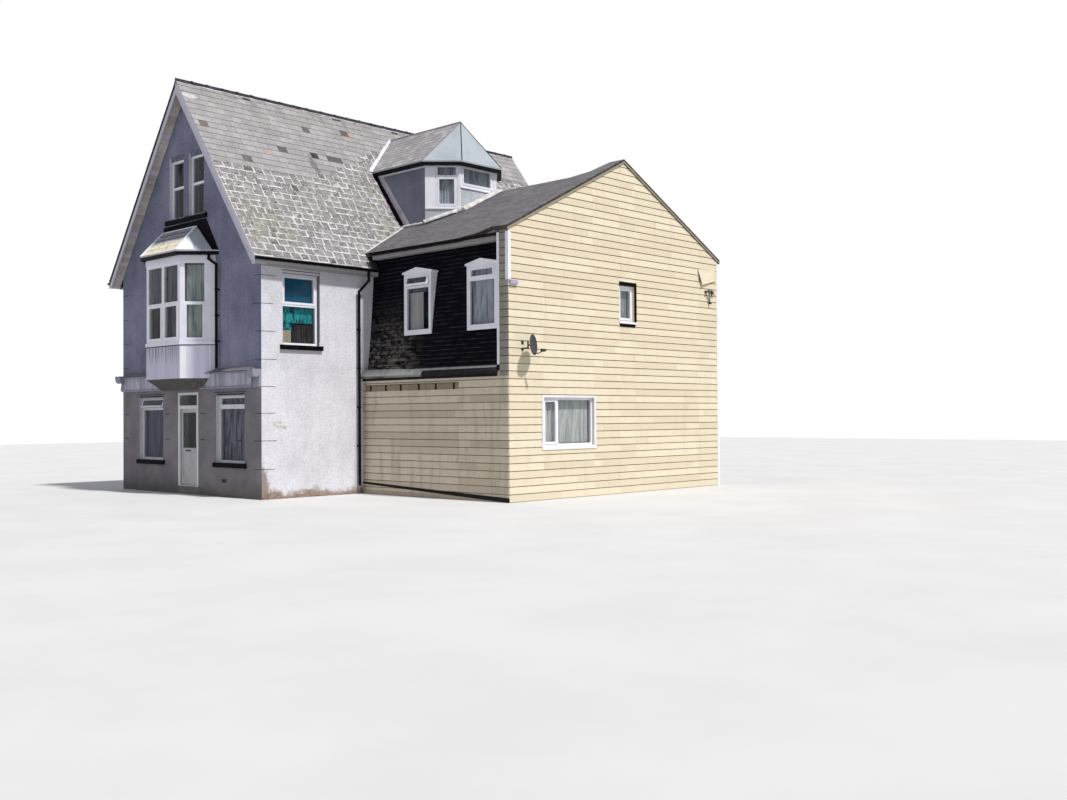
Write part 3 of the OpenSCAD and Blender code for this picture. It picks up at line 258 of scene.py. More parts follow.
class Paint:
    """Node tree of one material, with short calls for what its surface needs."""

    def __init__(self, name, roughness=0.7, sheen=0.2):
        self.material = bpy.data.materials.new(name)
        self.material.use_nodes = True
        self.tree = self.material.node_tree
        self.shader = self.tree.nodes["Principled BSDF"]
        self.shader.inputs["Roughness"].default_value = roughness
        self.shader.inputs["Specular IOR Level"].default_value = sheen
        self.place = self.tree.nodes.new("ShaderNodeTexCoord").outputs["Object"]

    def node(self, kind, **inputs):
        made = self.tree.nodes.new(kind)
        for key, value in inputs.items():
            socket = made.inputs[key.replace("_", " ")]
            self.put(socket, value)
        return made

    def put(self, socket, value):
        if isinstance(value, bpy.types.NodeSocket):
            self.tree.links.new(value, socket)
        else:
            socket.default_value = value

    def stretched(self, scale):
        return self.node("ShaderNodeMapping", Vector=self.place, Scale=scale).outputs["Vector"]

    def facing(self, name):
        """Share of the surface's own direction along an axis."""
        made = self.tree.nodes.new("ShaderNodeNewGeometry")
        return self.node("ShaderNodeSeparateXYZ", Vector=made.outputs["True Normal"]).outputs[name]

    def noise(self, scale, stretch=(1, 1, 1), detail=5.0, rough=0.55, distortion=0.0):
        made = self.node("ShaderNodeTexNoise", Vector=self.stretched(stretch), Scale=scale,
                         Detail=detail, Roughness=rough, Distortion=distortion)
        return made.outputs["Fac"]

    def cells(self, scale, stretch=(1, 1, 1), feature="F1"):
        made = self.node("ShaderNodeTexVoronoi", Vector=self.stretched(stretch), Scale=scale)
        made.feature = feature
        return made.outputs["Distance"]

    def math(self, operation, a, b=0.0, c=0.0):
        made = self.tree.nodes.new("ShaderNodeMath")
        made.operation = operation
        for socket, value in zip(made.inputs, (a, b, c)):
            self.put(socket, value)
        return made.outputs[0]

    def times(self, a, b):
        return self.math("MULTIPLY", a, b)

    def ragged(self, value, scale, share, stretch=(1, 1, 1)):
        """The value with a share of noise added to it."""
        return self.math("MULTIPLY_ADD", self.noise(scale, stretch), share, value)

    def ramp(self, value, stops):
        made = self.node("ShaderNodeValToRGB", Fac=value)
        spots = made.color_ramp.elements
        while len(spots) < len(stops):
            spots.new(0.5)
        for spot, (where, colour) in zip(spots, stops):
            spot.position = where
            spot.color = colour
        return made.outputs["Color"]

    def fade(self, value, low, high):
        made = self.node("ShaderNodeMapRange", Value=value, From_Min=low, From_Max=high)
        made.interpolation_type = "SMOOTHSTEP"
        return made.outputs["Result"]

    def mix(self, share, a, b, way="MIX"):
        made = self.tree.nodes.new("ShaderNodeMix")
        made.data_type = "RGBA"
        made.blend_type = way
        self.put(made.inputs[0], share)
        self.put(made.inputs[6], a)
        self.put(made.inputs[7], b)
        return made.outputs[2]

    def over(self, colour, top, share, strength):
        """The colour with another laid over it where the share is 1."""
        return self.mix(self.times(share, strength), colour, top)

    def axis(self, name):
        return self.node("ShaderNodeSeparateXYZ", Vector=self.place).outputs[name]

    def tint(self, name="tint"):
        """A value that the mesh carries at its points."""
        made = self.tree.nodes.new("ShaderNodeAttribute")
        made.attribute_name = name
        return made.outputs["Fac"]

    def lap(self, colour, line, start, share):
        """The colour with the shadow line under the next course laid over it."""
        high = self.ragged(self.tint("head"), 11.0, 0.05)
        return self.over(colour, line, self.fade(high, start, start + 0.04), share)

    def near(self, centre, reach, ragged=0.5):
        """1 near a point, 0 past its reach, with a ragged edge."""
        moved = self.vector("SUBTRACT", self.place, centre).outputs[0]
        scaled = self.vector("DIVIDE", moved, reach).outputs[0]
        length = self.vector("LENGTH", scaled, (0, 0, 0)).outputs["Value"]
        return self.fade(self.ragged(length, 9.0, ragged), 1.0 + ragged / 2, 0.5 + ragged / 2)

    def vector(self, operation, a, b):
        made = self.node("ShaderNodeVectorMath", Vector=a)
        made.operation = operation
        made.inputs[1].default_value = b
        return made

    def finish(self, colour, height=None, depth=0.002, rough=None):
        self.put(self.shader.inputs["Base Color"], colour)
        if height is not None:
            bump = self.node("ShaderNodeBump", Height=height, Distance=depth, Strength=0.8)
            self.put(self.shader.inputs["Normal"], bump.outputs["Normal"])
        if rough is not None:
            self.put(self.shader.inputs["Roughness"], rough)
        return self.material


def grey(value):
    """A grey in linear light."""
    return (value, value, value, 1.0)


RENDER_COURSE = 0.216     # height of the faint courses in the painted render


def wall_layers(p, dark, base, light, streak=0.2):
    """Colour of painted render: blotches, faint runs, fine grain and faint courses."""
    blotch = p.ramp(p.noise(0.8, detail=8.0, rough=0.62), [(0.3, dark), (0.5, base), (0.72, light)])
    runs = p.fade(p.noise(3.0, (2.2, 2.2, 0.18), 4.0), 0.45, 0.7)
    worn = p.mix(p.times(runs, streak), blotch, dark)
    fine = p.ramp(p.noise(16.0, (1, 1, 1.6), 7.0, 0.7), [(0.32, grey(0.82)), (0.68, grey(1.15))])
    worn = p.mix(1.0, worn, fine, "MULTIPLY")
    level = p.math("MULTIPLY_ADD", p.axis("Z"), 1 / RENDER_COURSE, p.times(p.noise(2.0), 0.3))
    course = p.math("FRACT", level)
    line = p.times(p.fade(course, 0.1, 0.03), p.fade(p.noise(1.9), 0.5, 0.62))
    return p.mix(p.times(line, 0.35), worn, dark)


def wall_relief(p):
    """Grain and hair cracks of the render."""
    crack = p.fade(p.cells(1.6, (1, 1, 1.3), "DISTANCE_TO_EDGE"), 0.006, 0.0)
    split = p.times(crack, p.fade(p.noise(1.3), 0.5, 0.7))
    return p.math("SUBTRACT", p.noise(70.0, detail=3.0), split)


RUST_SPOT = (FRONT_X + 0.5, SIDE_Y, 1.7)
WORN_CORNER = (FRONT_X + 0.02, SIDE_Y, 0.2)


def side_layers(p):
    """The side walls' colour, pale with damp and bare bricks at the foot."""
    colour = wall_layers(p, rgb(196, 195, 202), rgb(214, 213, 221), rgb(224, 222, 229), 0.25)
    z = p.axis("Z")
    rust = p.times(p.near(RUST_SPOT, (0.3, 0.4, 0.14), 0.6), p.fade(p.noise(13.0), 0.5, 0.56))
    colour = p.over(colour, rgb(160, 146, 104), rust, 0.6)
    corner = p.near(WORN_CORNER, (0.22, 0.5, 0.7), 1.2)
    colour = p.over(colour, rgb(128, 104, 86), corner, 0.8)
    split = p.times(p.fade(p.cells(0.55, (1, 1, 1.6), "DISTANCE_TO_EDGE"), 0.012, 0.002),
                   p.fade(p.noise(0.9), 0.44, 0.56))
    colour = p.over(colour, rgb(150, 150, 158), split, 0.12)
    foot = p.fade(p.ragged(z, 4.0, 0.5), 0.5, 0.3)
    bricks = p.ramp(p.noise(9.0, (1, 1, 3)), [(0.35, rgb(96, 78, 62)), (0.6, rgb(150, 126, 104))])
    colour = p.over(colour, bricks, foot, 0.9)
    damp = p.times(p.fade(p.noise(2.2, (1.2, 1.2, 0.3)), 0.5, 0.75), p.fade(z, 3.4, 0.8))
    return p.over(colour, rgb(170, 166, 160), damp, 0.3)


def front_render():
    """Blue-grey front, warm and dirty at the shop, with the side's colour on its returns."""
    p = Paint("front_render", 0.9)
    colour = wall_layers(p, rgb(100, 101, 122), rgb(123, 125, 147), rgb(144, 146, 167))
    z = p.axis("Z")
    warm = p.times(p.fade(z, 2.75, 2.5), 0.85)
    stone = p.ramp(p.noise(1.7), [(0.3, rgb(110, 106, 110)), (0.7, rgb(138, 134, 134))])
    colour = p.mix(warm, colour, stone)
    foot = p.fade(p.ragged(z, 5.0, 0.5), 0.75, 0.25)
    colour = p.over(colour, rgb(92, 90, 80), foot, 0.65)
    colour = p.mix(p.fade(p.facing("Y"), -0.4, -0.7), colour, side_layers(p))
    return p.finish(colour, wall_relief(p), 0.003)


def side_render():
    """Pale render of the side walls and the rear gable."""
    p = Paint("side_render", 0.9)
    return p.finish(side_layers(p), wall_relief(p), 0.003)


def cheek_paint():
    """Dormer walls: dark on the cheeks, pale on the front, towards the wing's side."""
    p = Paint("dormer_cheek", 0.8)
    colour = wall_layers(p, rgb(104, 107, 122), rgb(122, 126, 143), rgb(136, 140, 155))
    pale = wall_layers(p, rgb(152, 157, 164), rgb(182, 187, 194), rgb(198, 202, 210), 0.4)
    colour = p.mix(p.fade(p.facing("Y"), -0.3, -0.5), colour, pale)
    return p.finish(colour, wall_relief(p), 0.001)


def slate_paint(name, stops, moss, speckle=0.35, patch=0.3, line=0.91):
    """Slates: a tone for each slate, weathering, fine mottling, painted shade on their tails and
    edges and a painted shadow line under each course. Gives the paint, its colour, and the height and
    depth of its bumps."""
    p = Paint(name, 0.8)
    own = p.ramp(p.tint(), stops)
    cloud = p.ramp(p.noise(1.7, detail=7.0), [(0.3, grey(0.84)), (0.7, grey(1.08))])
    colour = p.mix(1.0, own, cloud, "MULTIPLY")
    fine = p.ramp(p.noise(20.0, detail=7.0, rough=0.7), [(0.3, grey(0.82)), (0.7, grey(1.16))])
    colour = p.mix(1.0, colour, fine, "MULTIPLY")
    speck = p.fade(p.noise(38.0, detail=4.0), 0.6, 0.68)
    colour = p.over(colour, moss, speck, speckle)
    spread = p.times(p.fade(p.noise(1.1), 0.52, 0.7), patch)
    colour = p.mix(spread, colour, moss)
    # Painted shade: faces that look sideways or down, the tails and edges of the slates, go dark
    edge = p.times(p.fade(p.facing("Z"), 0.3, 0.0), 0.85)
    colour = p.mix(edge, colour, rgb(52, 48, 52))
    # Painted shadow line under the next course
    colour = p.lap(colour, rgb(58, 55, 58), line, 0.8)
    return p, colour, p.noise(26.0, (1, 1, 2.5), 6.0, 0.65), 0.0015


def near_valleys(p):
    """1 where yellow lichen gathers: by the dormer, by the valley and along the front verge."""
    dormer = p.near((-1.25, -2.3, 7.2), (1.1, 1.6, 1.9), 0.8)
    verge = p.near((-5.3, -2.9, 6.5), (0.9, 0.9, 1.3), 0.9)
    return p.math("MAXIMUM", dormer, verge)


# Tones of the slates by their own random share, the last ones of those that stand out
MAIN_SLATES = [
    (0.0, rgb(151, 149, 149)), (0.3, rgb(159, 157, 158)), (0.55, rgb(167, 165, 167)),
    (0.6, rgb(176, 173, 175)), (0.84, rgb(192, 188, 190)), (0.87, rgb(66, 65, 76)),
    (0.93, rgb(174, 158, 146)), (1.0, rgb(116, 104, 103))
]
WING_SLATES = [(0.0, rgb(100, 98, 102)), (0.5, rgb(114, 112, 116)), (1.0, rgb(126, 124, 128))]


def main_slate_paint():
    """Slates of the main house, with lichen, stains and soot."""
    p, colour, height, depth = slate_paint("slates", MAIN_SLATES, rgb(160, 152, 150))
    lichen = p.times(near_valleys(p), p.fade(p.noise(6.0), 0.4, 0.6))
    colour = p.over(colour, rgb(190, 184, 152), lichen, 0.65)
    stain = p.near((-2.8, -1.42, 8.42), (0.14, 0.5, 0.6), 2.0)
    colour = p.over(colour, rgb(84, 74, 74), stain, 0.6)
    white = p.near((-5.8, -0.3, 9.92), (0.3, 0.1, 0.14), 0.6)
    colour = p.mix(white, colour, rgb(196, 192, 196))
    soot = p.times(p.fade(p.axis("Z"), 9.75, 10.2), p.fade(p.noise(5.0), 0.5, 0.66))
    colour = p.over(colour, rgb(112, 96, 92), soot, 0.5)
    return p.finish(colour, height, depth)


def wing_slate_paint():
    """Small dark slates of the wing."""
    p, colour, height, depth = slate_paint("wing_slates", WING_SLATES, rgb(136, 128, 122), 0.3,
                                           0.25, line=0.72)
    return p.finish(colour, height, depth)


def bay_roof_paint():
    """The bay's slates: beige under a ragged line, lilac over it."""
    stops = [(0.0, rgb(156, 152, 164)), (1.0, rgb(184, 180, 190))]
    p, colour, height, depth = slate_paint("bay_slates", stops, rgb(140, 134, 140), 0.3, 0.2)
    level = p.ragged(p.axis("Z"), 5.0, 0.16)
    beige = p.ramp(p.noise(7.0), [(0.35, rgb(194, 184, 158)), (0.5, rgb(232, 226, 208)),
                                  (0.75, rgb(222, 214, 192))])
    return p.finish(p.mix(p.fade(level, 6.40, 6.36), colour, beige), height, depth)


def mortar_paint():
    """Pale mortar with a little green."""
    p = Paint("mortar", 0.9)
    tones = [(0.3, rgb(150, 147, 146)), (0.5, rgb(208, 205, 205)), (0.7, rgb(228, 226, 228))]
    colour = p.ramp(p.noise(7.0, detail=8.0, rough=0.7), tones)
    green = p.times(p.fade(p.noise(1.7), 0.5, 0.68), 0.45)
    colour = p.mix(green, colour, rgb(168, 164, 140))
    return p.finish(colour, p.noise(48.0), 0.005)


def roof_core(name, verge, eave):
    """Edges of the main roof's slabs, painted at the front verge and along the eaves."""
    p = Paint(name, 0.9)
    colour = p.ramp(p.noise(7.0), [(0.35, rgb(48, 44, 44)), (0.65, rgb(80, 74, 72))])
    colour = p.mix(p.fade(p.facing("X"), -0.6, -0.9), colour, verge)
    upright = p.fade(p.math("ABSOLUTE", p.facing("Y")), 0.85, 0.95)
    colour = p.mix(p.times(upright, p.fade(p.axis("Z"), 5.52, 5.5)), colour, eave)
    return p.finish(colour, p.noise(40.0), 0.004)


def wing_core():
    """Edges of the wing's roof: slates over a thin pale verge board."""
    p = Paint("wing_roof_core", 0.9)
    colour = p.ramp(p.noise(9.0, detail=7.0), [(0.35, rgb(44, 41, 42)), (0.65, rgb(86, 80, 76))])
    off = p.times(p.math("ABSOLUTE", p.math("SUBTRACT", p.axis("X"), WING_MID)), math.tan(WING_PITCH))
    deep = p.math("SUBTRACT", WING_RIDGE_Z + WING_LIFT, p.math("ADD", p.axis("Z"), off))
    board = p.times(p.fade(deep, 0.05, 0.06), p.fade(p.facing("Y"), -0.8, -0.95))
    return p.finish(p.mix(board, colour, rgb(150, 142, 124)), p.noise(40.0), 0.004)


def board_paint(name, dark, base, light, dirt, grime=0.3, grain=(1, 1, 14), gap=None):
    """Painted boards: a tone for each board, long grain, flaking and a painted shadow line under each
    lap.
    """
    p = Paint(name, 0.62)
    own = p.ramp(p.tint(), [(0.0, dark), (0.5, base), (1.0, light)])
    long_grain = p.noise(5.0, grain, 6.0, 0.6)
    colour = p.mix(p.fade(long_grain, 0.45, 0.75), own, dark)
    flake = p.fade(p.noise(12.0, (1, 1, 2)), 0.68, 0.74)
    colour = p.over(colour, dirt, flake, grime)
    rain = p.times(p.fade(p.noise(2.2, (2.5, 2.5, 0.3)), 0.5, 0.75), grime)
    colour = p.mix(rain, colour, dirt)
    # gap is the colour of the painted shadow line under each lap
    if gap:
        colour = p.lap(colour, gap, 0.9, 0.85)
    return p.finish(colour, p.math("ADD", long_grain, p.times(flake, 0.6)), 0.0015)


def black_paint():
    """Tarred boards, worn to brown where the weather reaches them, with a painted highlight and wear
    along the foot of each board and a painted shadow line under each lap.
    """
    p = Paint("black_boards", 0.8, 0.06)
    own = p.ramp(p.tint(), [(0.0, rgb(2, 2, 12)), (0.55, rgb(9, 8, 20)), (0.8, rgb(70, 66, 58)),
                            (1.0, rgb(112, 107, 94))])
    grain = p.noise(7.0, (1, 1, 12), 6.0, 0.65)
    colour = p.mix(p.fade(grain, 0.5, 0.8), own, rgb(24, 23, 36))
    near_house = p.fade(p.ragged(p.axis("Y"), 1.3, 1.2), -5.4, -3.6)
    low = p.times(p.fade(p.axis("Z"), 4.9, 3.1), near_house)
    bare = p.times(p.fade(p.noise(5.0, (1, 1, 2.5)), 0.42, 0.6), low)
    colour = p.over(colour, rgb(124, 121, 110), bare, 0.75)
    # Lighter along the foot of each board: a painted highlight on the butts, with some wear
    foot = p.fade(p.ragged(p.tint("head"), 5.0, 0.5), 0.5, 0.38)
    worn = p.times(foot, p.fade(p.noise(2.6, (1, 1, 3)), 0.38, 0.6))
    colour = p.over(colour, rgb(84, 82, 92), worn, 0.35)
    # Painted shadow line under the next board
    colour = p.lap(colour, rgb(1, 1, 3), 0.82, 0.95)
    return p.finish(colour, grain, 0.003)


def plain_paint(name, base, dark, rough=0.5, scale=4.0, depth=0.0008, share=0.35, sheen=0.3):
    """Smooth painted or moulded surface with faint dirt and runs."""
    p = Paint(name, rough, sheen)
    cloud = p.fade(p.noise(scale), 0.42, 0.75)
    colour = p.mix(p.times(cloud, share), base, dark)
    runs = p.fade(p.noise(scale * 2, (1.5, 1.5, 0.3)), 0.5, 0.8)
    colour = p.over(colour, dark, runs, share * 0.7)
    wear = p.node("ShaderNodeMapRange", Value=p.noise(30.0), To_Min=rough * 0.8, To_Max=rough * 1.2)
    return p.finish(colour, p.noise(60.0), depth, wear.outputs["Result"])


def apron_paint():
    """Painted apron of the bay: dark runs from the sill down the face toward the street."""
    p = Paint("bay_apron", 0.6)
    colour = p.ramp(p.tint(), [(0.0, rgb(206, 206, 226)), (1.0, rgb(222, 222, 238))])
    front = p.fade(p.facing("X"), -0.85, -0.95)
    colour = p.over(colour, rgb(176, 176, 196), front, 0.4)
    runs = p.fade(p.noise(9.0, (2.2, 2.2, 0.12), 6.0, 0.7), 0.42, 0.6)
    high = p.fade(p.ragged(p.axis("Z"), 6.0, 0.5, (1, 1, 0.1)), 3.35, 3.9)
    dirt = p.times(p.times(runs, high), front)
    colour = p.over(colour, rgb(78, 74, 86), dirt, 0.85)
    return p.finish(colour, p.noise(40.0, (1, 1, 0.2)), 0.001)


def sill_paint():
    """Black sills, with the boards over the attic sashes painted like the wall."""
    p = Paint("sill_black", 0.7, 0.05)
    cloud = p.fade(p.noise(7.0), 0.42, 0.75)
    black = p.mix(p.times(cloud, 0.4), rgb(6, 6, 10), rgb(32, 30, 34))
    wall = p.ramp(p.noise(6.0), [(0.35, rgb(96, 96, 112)), (0.65, rgb(128, 130, 150))])
    return p.finish(p.mix(p.fade(p.axis("Z"), 8.35, 8.37), black, wall), p.noise(60.0), 0.001)


def glass_paint():
    """Thin dark glass that shows what hangs behind it."""
    p = Paint("glass", 0.05, 0.5)
    cloud = p.fade(p.noise(1.3), 0.35, 0.7)
    colour = p.mix(cloud, rgb(30, 38, 44), rgb(56, 66, 74))
    p.shader.inputs["Alpha"].default_value = 0.22
    return p.finish(colour, p.noise(1.2), 0.004)


def cloth_paint(name, base, shade, scale=9.0, along=0.12):
    """Woven cloth with painted shade in the folds along its drop."""
    p = Paint(name, 0.9)
    fold = p.noise(scale, (1, 1, along), 5.0, 0.6, 0.4)
    # Painted shade in the folds: the shade colour where the fold noise is high
    colour = p.mix(p.fade(fold, 0.4, 0.66), base, shade)
    weave = p.noise(420.0, detail=2.0)
    p.shader.inputs["Sheen Weight"].default_value = 0.2
    return p.finish(colour, weave, 0.0004)


def ridge_paint():
    """Dark clay with pale lichen spots."""
    p = Paint("ridge_clay", 0.9)
    colour = p.ramp(p.noise(4.0, detail=6.0), [(0.3, rgb(44, 38, 48)), (0.55, rgb(66, 58, 72)),
                                               (0.8, rgb(92, 84, 92))])
    spots = p.fade(p.noise(24.0), 0.62, 0.7)
    colour = p.over(colour, rgb(128, 124, 122), spots, 0.35)
    return p.finish(colour, p.noise(9.0, detail=6.0), 0.02)


def underside_paint():
    """Dirty paint on the boards under the bay."""
    p = Paint("bay_underside", 0.85)
    colour = p.ramp(p.noise(6.0, (3, 3, 1)), [(0.3, rgb(66, 62, 62)), (0.6, rgb(96, 92, 90)),
                                              (0.85, rgb(116, 112, 112))])
    return p.finish(colour, p.noise(30.0, (1, 1, 0.2)), 0.002)


def ledge_paint():
    """The ledge's faces, pale to its broken half and painted dark past it, as painted shade of the
    recess.
    """
    p = Paint("ledge", 0.8)
    pale = p.ramp(p.noise(4.0, (1, 0.4, 1), 7.0), [(0.35, rgb(84, 86, 82)), (0.6, rgb(140, 143, 138)),
                                                   (0.8, rgb(176, 178, 174))])
    dark = p.ramp(p.noise(9.0), [(0.4, rgb(18, 17, 20)), (0.8, rgb(44, 42, 44))])
    # Painted shade: dark past the broken half, where the recess lies
    past = p.fade(p.ragged(p.axis("Y"), 6.0, 0.3), -5.42, -5.5)
    return p.finish(p.mix(past, pale, dark), p.noise(30.0), 0.002)


PAINTS = {
    "front_render": front_render(),
    "side_render": side_render(),
    "slates": main_slate_paint(),
    "wing_slates": wing_slate_paint(),
    "bay_slates": bay_roof_paint(),
    "mortar": mortar_paint(),
    "core": roof_core("roof_core", rgb(54, 50, 54), rgb(176, 174, 182)),
    "near_core": roof_core("near_roof_core", rgb(206, 204, 216), rgb(176, 174, 182)),
    "wing_core": wing_core(),
    "cheek": cheek_paint(),
    "barge": board_paint("barge_boards", rgb(196, 194, 206), rgb(222, 220, 232), rgb(230, 228, 238),
                         rgb(120, 116, 122), 0.3, (6, 6, 0.5)),
    "bay": plain_paint("bay_boards", rgb(228, 228, 240), rgb(190, 190, 206), 0.5, 3.0, 0.0008, 0.3),
    "apron": apron_paint(),
    "ridge": ridge_paint(),
    # The colour given as gap below is that of the painted shadow line under each lap
    "cream": board_paint("cream_boards", rgb(212, 200, 175), rgb(219, 208, 182), rgb(225, 215, 191),
                         rgb(170, 158, 130), 0.16, gap=rgb(96, 84, 64)),
    "shaded": board_paint("shaded_boards", rgb(190, 178, 158), rgb(204, 192, 171), rgb(214, 203, 183),
                          rgb(132, 124, 110), 0.4, gap=rgb(66, 58, 50)),
    "bare": board_paint("bare_band", rgb(132, 118, 98), rgb(150, 136, 114), rgb(166, 152, 130),
                        rgb(96, 84, 70), 0.4),
    "pier": board_paint("pier_boards", rgb(140, 136, 126), rgb(150, 146, 136), rgb(160, 156, 146),
                        rgb(112, 106, 96), 0.3, gap=rgb(44, 42, 40)),
    "fascia": board_paint("fascia_boards", rgb(150, 148, 146), rgb(182, 181, 178), rgb(196, 195, 192),
                          rgb(100, 96, 90), 0.4, (6, 6, 0.5)),
    "black": black_paint(),
    "board": board_paint("painted_board", rgb(142, 142, 156), rgb(174, 174, 188), rgb(188, 188, 200),
                         rgb(108, 104, 102), 0.36, (6, 6, 0.5)),
    "soffit": board_paint("soffit_boards", rgb(168, 162, 156), rgb(196, 190, 182), rgb(214, 208, 200),
                          rgb(90, 82, 76), 0.35),
    "white": plain_paint("white_upvc", rgb(232, 233, 240), rgb(196, 196, 208), 0.32, 3.0),
    # A darker copy of the white for the shop's frames in the shade: painted shade
    "shade_white": plain_paint("shop_white_painted_shade", rgb(212, 212, 220), rgb(164, 162, 168), 0.4, 3.0),
    "door": plain_paint("door_paint", rgb(176, 176, 180), rgb(136, 134, 132), 0.5),
    "rainwater": plain_paint("rainwater", rgb(7, 7, 10), rgb(30, 29, 30), 0.55, 6.0, sheen=0.08),
    "sill": sill_paint(),
    "tar": plain_paint("black_flashing", rgb(8, 8, 16), rgb(34, 34, 46), 0.8, 5.0, 0.003, sheen=0.05),
    "lead": plain_paint("lead", rgb(176, 180, 192), rgb(136, 140, 152), 0.6, 2.0, 0.003, 0.5),
    "pale_lead": plain_paint("pale_lead", rgb(226, 228, 236), rgb(180, 182, 190), 0.6, 5.0, 0.004,
                             0.25),
    "old_sheet": plain_paint("old_sheet", rgb(166, 168, 164), rgb(96, 98, 92), 0.7, 5.0, 0.004, 0.6),
    "cheek_lead": plain_paint("cheek_lead", rgb(206, 198, 212), rgb(148, 142, 154), 0.7, 5.0,
                              0.004, 0.5),
    "dormer_lead": plain_paint("dormer_lead", rgb(164, 172, 180), rgb(134, 142, 148), 0.6, 2.0,
                               0.003, 0.5),
    "old_lead": plain_paint("old_lead", rgb(142, 136, 148), rgb(96, 92, 98), 0.7, 5.0, 0.004, 0.5),
    "dish": plain_paint("dish_metal", rgb(54, 54, 62), rgb(36, 35, 40), 0.5, 8.0),
    "slab": plain_paint("slab", rgb(120, 118, 114), rgb(80, 78, 74), 0.9, 2.0, 0.003),
    "floor": board_paint("floorboards", rgb(96, 76, 56), rgb(126, 100, 74), rgb(140, 116, 88),
                         rgb(70, 54, 40), 0.3, (0.6, 9, 9)),
    "glass": glass_paint(),
    "net": cloth_paint("net_curtain", rgb(222, 230, 240), rgb(140, 154, 172)),
    # A brighter copy of the net cloth for the gable's big window: painted sunlight
    "painted_sunlit_net": cloth_paint("painted_sunlit_net", rgb(250, 254, 250), rgb(190, 204, 204)),
    "grey_cloth": cloth_paint("grey_curtain", rgb(216, 230, 226), rgb(158, 174, 174)),
    "blue_cloth": cloth_paint("blue_curtain", rgb(104, 110, 142), rgb(70, 76, 106)),
    "dusk_net": cloth_paint("dusk_net", rgb(150, 156, 178), rgb(40, 44, 62), scale=14.0),
    "dim_cloth": cloth_paint("dim_curtain", rgb(134, 144, 156), rgb(74, 82, 94)),
    "teal_cloth": cloth_paint("teal_curtain", rgb(0, 118, 158), rgb(0, 98, 134)),
    "frill": cloth_paint("teal_frill", rgb(60, 214, 220), rgb(0, 62, 82), scale=14.0, along=0.45),
    "box": cloth_paint("cream_card", rgb(226, 214, 190), rgb(200, 188, 160)),
    "brown": cloth_paint("brown_cloth", rgb(70, 54, 52), rgb(34, 28, 32)),
    "drape": cloth_paint("lilac_drape", rgb(176, 178, 204), rgb(92, 96, 120)),
    "blind": cloth_paint("cream_blind", rgb(236, 234, 232), rgb(210, 208, 206)),
    "underside": underside_paint(),
    # Dark paint of real joints, gaps and battens, and of the painted shadows under the bay's sill,
    # under the ledge, at the shop window heads and round the side window
    "dark": plain_paint("dark_gap_and_painted_shade", rgb(14, 13, 16), rgb(34, 32, 30), 0.9),
    "ledge": ledge_paint(),
    # Painted shade on the side window's reveal lining
    "reveal": plain_paint("reveal", rgb(104, 100, 110), rgb(60, 56, 62), 0.9, 5.0),
    "lilac": plain_paint("lilac_box", rgb(168, 164, 186), rgb(120, 116, 134), 0.6)
}

NODE_PAINTS = {
    "ground_floor": "slab", "first_floor": "floor", "attic_floor": "floor",
    "front_wall_right": "front_render", "front_wall_left": "front_render",
    "front_gable_wall": "front_render", "side_wall": "side_render",
    "far_side_wall": "side_render", "rear_gable_wall": "side_render",
    "main_roof_near": "near_core", "main_roof_far": "core", "ridge_tiles": "ridge",
    "bargeboards": "barge", "eaves_boards": "fascia", "gutters": "rainwater",
    "downpipes": "rainwater", "shop_fascia": "board", "window_sills": "sill",
    "door_frame": "shade_white", "door_leaf": "door", "door_glass": "glass",
    "shop_window_frames": "shade_white", "shop_glass": "glass", "house_window_frames": "white",
    "house_glass": "glass", "bay_walls": "bay", "bay_underside": "underside",
    "bay_window_frames": "white", "bay_glass": "glass", "bay_roof": "lead",
    "dormer_walls": "cheek", "dormer_window_frames": "white", "dormer_glass": "glass",
    "dormer_roof": "dormer_lead", "wing_gable_wall": "cream", "wing_left_wall": "shaded",
    "wing_right_wall": "shaded", "wing_left_upper_wall": "black",
    "wing_right_upper_wall": "black", "wing_ledges": "ledge", "wing_roof_left": "wing_core",
    "wing_roof_right": "wing_core", "wing_window_boxes": "white", "wing_window_frames": "white",
    "wing_glass": "glass", "corner_trims": "white", "satellite_dish": "dish"
}
BEVELLED = {
    "shop_window_frames": 0.004, "house_window_frames": 0.004, "bay_window_frames": 0.004,
    "dormer_window_frames": 0.004, "wing_window_frames": 0.004, "door_leaf": 0.002,
    "window_sills": 0.012, "bay_walls": 0.004, "bargeboards": 0.004, "corner_trims": 0.003,
    "shop_fascia": 0.004, "wing_window_boxes": 0.003
}


def dress_nodes():
    """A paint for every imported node, and rounded edges on those that show them."""
    for name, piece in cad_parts.items():
        piece.data.materials.clear()
        piece.data.materials.append(PAINTS[NODE_PAINTS[name]])
        if name in BEVELLED:
            add_bevel(piece, BEVELLED[name])


# Roof surfaces: v runs down the slope from the ridge
def wing_lift_at(y):
    """Rise of the wing's roof toward its verge."""
    along = y - WING_VERGE_Y
    for (a, la), (b, lb) in zip(LIFT_STEPS, LIFT_STEPS[1:]):
        if along <= b:
            return WING_LIFT * (la + (lb - la) * (along - a) / (b - a))
    return 0.0


def down_slope(side):
    """Direction down a slope of the main roof."""
    return Vector((0, side * math.cos(PITCH), -math.sin(PITCH)))


def roof_y(z):
    """Place across the near slope of the main roof where its top reaches a height."""
    return -(RIDGE_Z - z) / math.tan(PITCH)


def slope_plane(side):
    """Main roof slope: side -1 is near the wing, +1 is far from it."""
    return Plane((0, 0, RIDGE_Z), (-side, 0, 0), down_slope(side))


def wing_plane(side):
    """Wing roof slope: side -1 faces the shop front, +1 the rear."""
    down = (side * math.cos(WING_PITCH), 0, -math.sin(WING_PITCH))
    return Plane((WING_MID, 0, WING_RIDGE_Z), (0, side, 0), down,
                 lambda u, v: Vector((0, 0, wing_lift_at(side * u))))


